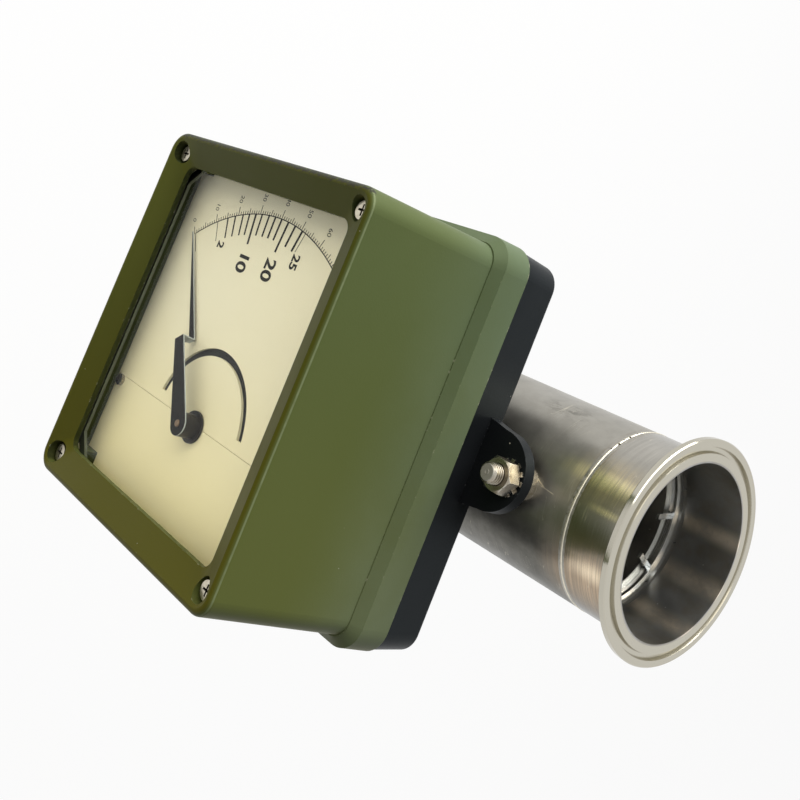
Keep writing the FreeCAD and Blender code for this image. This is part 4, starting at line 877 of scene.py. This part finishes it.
def addBead(replaced, middle):
    radius, level = bead["outline"][0]
    bpy.ops.mesh.primitive_circle_add(vertices=bead["corners"], radius=radius * mm,
                                      location=(0, 0, (middle + level) * mm))
    ring = bpy.context.object
    settle(ring)
    bpy.ops.object.mode_set(mode="EDIT")
    bpy.ops.mesh.select_all(action="SELECT")
    for nextRadius, nextLevel in bead["outline"][1:]:
        bpy.ops.mesh.extrude_region_move(TRANSFORM_OT_translate={"value": (0, 0, (nextLevel - level) * mm)})
        share = nextRadius / radius
        bpy.ops.transform.resize(value=(share, share, 1), center_override=(0, 0, 0))
        radius, level = nextRadius, nextLevel
    bpy.ops.mesh.select_all(action="DESELECT")
    bpy.ops.mesh.select_mode(type="EDGE")
    bpy.ops.mesh.select_non_manifold()
    bpy.ops.mesh.bridge_edge_loops()
    bpy.ops.mesh.select_all(action="SELECT")
    bpy.ops.mesh.normals_make_consistent(inside=False)
    bpy.ops.object.mode_set(mode="OBJECT")
    bpy.ops.object.shade_smooth_by_angle(angle=math.radians(bead["smooth"]))
    ring.name = replaced + "_bead"
    ring.data.name = ring.name
    ring.data.materials.append(finishes["weld"])
    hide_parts(replaced)
    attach(ring, "meter")


# The thread on each stud beyond its nut, and the small ring on the stud's sawn end
thread = {
    "names": ("lower_thread", "upper_thread"), "centres": (52.7, 247.3), "first": -56.1, "last": -59.9,
    "pitch": 1.25, "radius": 3.95, "crest": 0.30, "corners": 48, "crestCorners": 6,
    "markRadius": 0.9, "markCrest": 0.16, "markCorners": 24,
}


def addRing(radius, crest, corners, y, z):
    bpy.ops.mesh.primitive_torus_add(
        major_segments=corners, minor_segments=thread["crestCorners"], major_radius=radius * mm,
        minor_radius=crest * mm, location=(0, y * mm, z * mm), rotation=(math.radians(90), 0, 0))
    return bpy.context.object


def addThread(name, z):
    rings = []
    y = thread["first"]
    while y >= thread["last"]:
        rings.append(addRing(thread["radius"], thread["crest"], thread["corners"], y, z))
        y -= thread["pitch"]
    mark = (thread["markRadius"], thread["markCrest"], thread["markCorners"])
    rings.append(addRing(*mark, fastener["tip"], z))
    settle(*rings)
    select(*rings)
    bpy.ops.object.join()
    made = bpy.context.object
    bpy.ops.object.shade_smooth()
    made.name = name
    made.data.name = name
    made.data.materials.append(finishes["fastener"])
    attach(made, "meter")


def dialPoint(degrees, radius):
    turn = math.radians(degrees)
    return Vector(((dial["pivot"][0] - radius * math.cos(turn)) * mm, -dial["printFront"] * mm,
                   (dial["pivot"][1] + radius * math.sin(turn)) * mm))


def printTick(degrees, inner, outer, width):
    bpy.ops.mesh.primitive_plane_add(size=1, location=dialPoint(degrees, (inner + outer) / 2),
                                     rotation=(math.radians(90), math.radians(degrees), 0))
    tick = bpy.context.object
    tick.scale = ((outer - inner) * mm, width * mm, 1)
    return tick


def printNumber(words, degrees, radius, height, gap=1.0, bold=0.0):
    bpy.ops.object.text_add(location=dialPoint(degrees, radius), rotation=(math.radians(90), 0, 0))
    number = bpy.context.object
    number.data.body = words
    number.data.align_x = "CENTER"
    number.data.align_y = "CENTER"
    number.data.size = height * mm / dial["capHeight"]
    number.data.offset = height * mm * bold
    number.data.space_character = gap
    number.data.resolution_u = dial["curveSteps"]
    bpy.ops.object.convert(target="MESH")
    return bpy.context.object


def printArc():
    centre = dialPoint(0, 0)
    radius = dial["arcRadius"] * mm
    bpy.ops.mesh.primitive_circle_add(vertices=dial["arcCorners"], radius=radius, location=centre,
                                      rotation=(math.radians(90), 0, 0))
    arc = bpy.context.object
    settle(arc)
    bpy.ops.object.mode_set(mode="EDIT")
    bpy.ops.mesh.select_all(action="DESELECT")
    bpy.ops.object.mode_set(mode="OBJECT")
    low, high = dial["arcFrom"] - dial["arcSpare"], dial["arcTo"] + dial["arcSpare"]
    for point in arc.data.vertices:
        across = point.co - centre
        degrees = math.degrees(math.atan2(across.z, -across.x))
        point.select = not low <= degrees <= high
    bpy.ops.object.mode_set(mode="EDIT")
    bpy.ops.mesh.delete(type="VERT")
    bpy.ops.mesh.select_all(action="SELECT")
    bpy.ops.mesh.extrude_region_move()
    share = 1 - dial["arcWidth"] / dial["arcRadius"]
    bpy.ops.transform.resize(value=(share, share, share), center_override=centre)
    bpy.ops.mesh.select_all(action="SELECT")
    bpy.ops.mesh.normals_make_consistent(inside=False)
    bpy.ops.object.mode_set(mode="OBJECT")
    return arc


def addDialPrint():
    outer = dial["arcRadius"] - dial["arcWidth"] / 2
    marks = [printArc(), printTick(dial["arcFrom"], dial["tickEnd"], outer, dial["thinWidth"])]
    least, growth = dial["boldGrowth"]
    for count, degrees in enumerate(dial["ticks"]):
        width = dial["boldWidth"] * (least + growth * count / len(dial["ticks"]))
        marks.append(printTick(degrees, dial["tickEnd"], outer, width))
    for degrees in dial["longTicks"]:
        marks.append(printTick(degrees, dial["longTickEnd"], outer, dial["boldWidth"]))
    for degrees, end in dial["thinTicks"]:
        marks.append(printTick(degrees, end, outer, dial["thinWidth"]))
    for step in range(dial["fineCount"] + 1):
        degrees = dial["fineFrom"] + dial["fineStep"] * step
        kind = "fineLong" if step % 10 == 0 else "fineMiddle" if step % 5 == 0 else "fineShort"
        marks.append(printTick(degrees, outer, outer + dial[kind], dial["fineWidth"]))
    for words, (degrees, radius, height, gap) in dial["numbers"].items():
        marks.append(printNumber(words, degrees, radius, height, gap, dial["boldness"]))
    for tens in range(dial["fineNumbers"]):
        degrees = dial["fineFrom"] + dial["fineStep"] * 10 * tens
        marks.append(printNumber(str(tens * 10), degrees, dial["fineNumberRadius"], dial["fineNumberSize"]))
    settle(*marks)
    select(*marks)
    bpy.ops.object.join()
    printed = bpy.context.object
    printed.name = "dial_print"
    printed.data.name = "dial_print"
    printed.data.materials.clear()
    printed.data.materials.append(finishes["print"])
    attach(printed, "meter")
    print("dial print made of", len(marks), "marks")


setCamera()
for name, lamp in studio["lamps"].items():
    addLamp(name, lamp)
setWorld()
addFloor()
print("camera, lamps and floor placed")
dressNodes()
addDialPrint()
for replaced, middle in zip(bead["names"], tube["welds"]):
    addBead(replaced, middle)
for name, z in zip(thread["names"], thread["centres"]):
    addThread(name, z)
print("weld beads and threads made")
bpy.context.scene.view_settings.view_transform = "Standard"
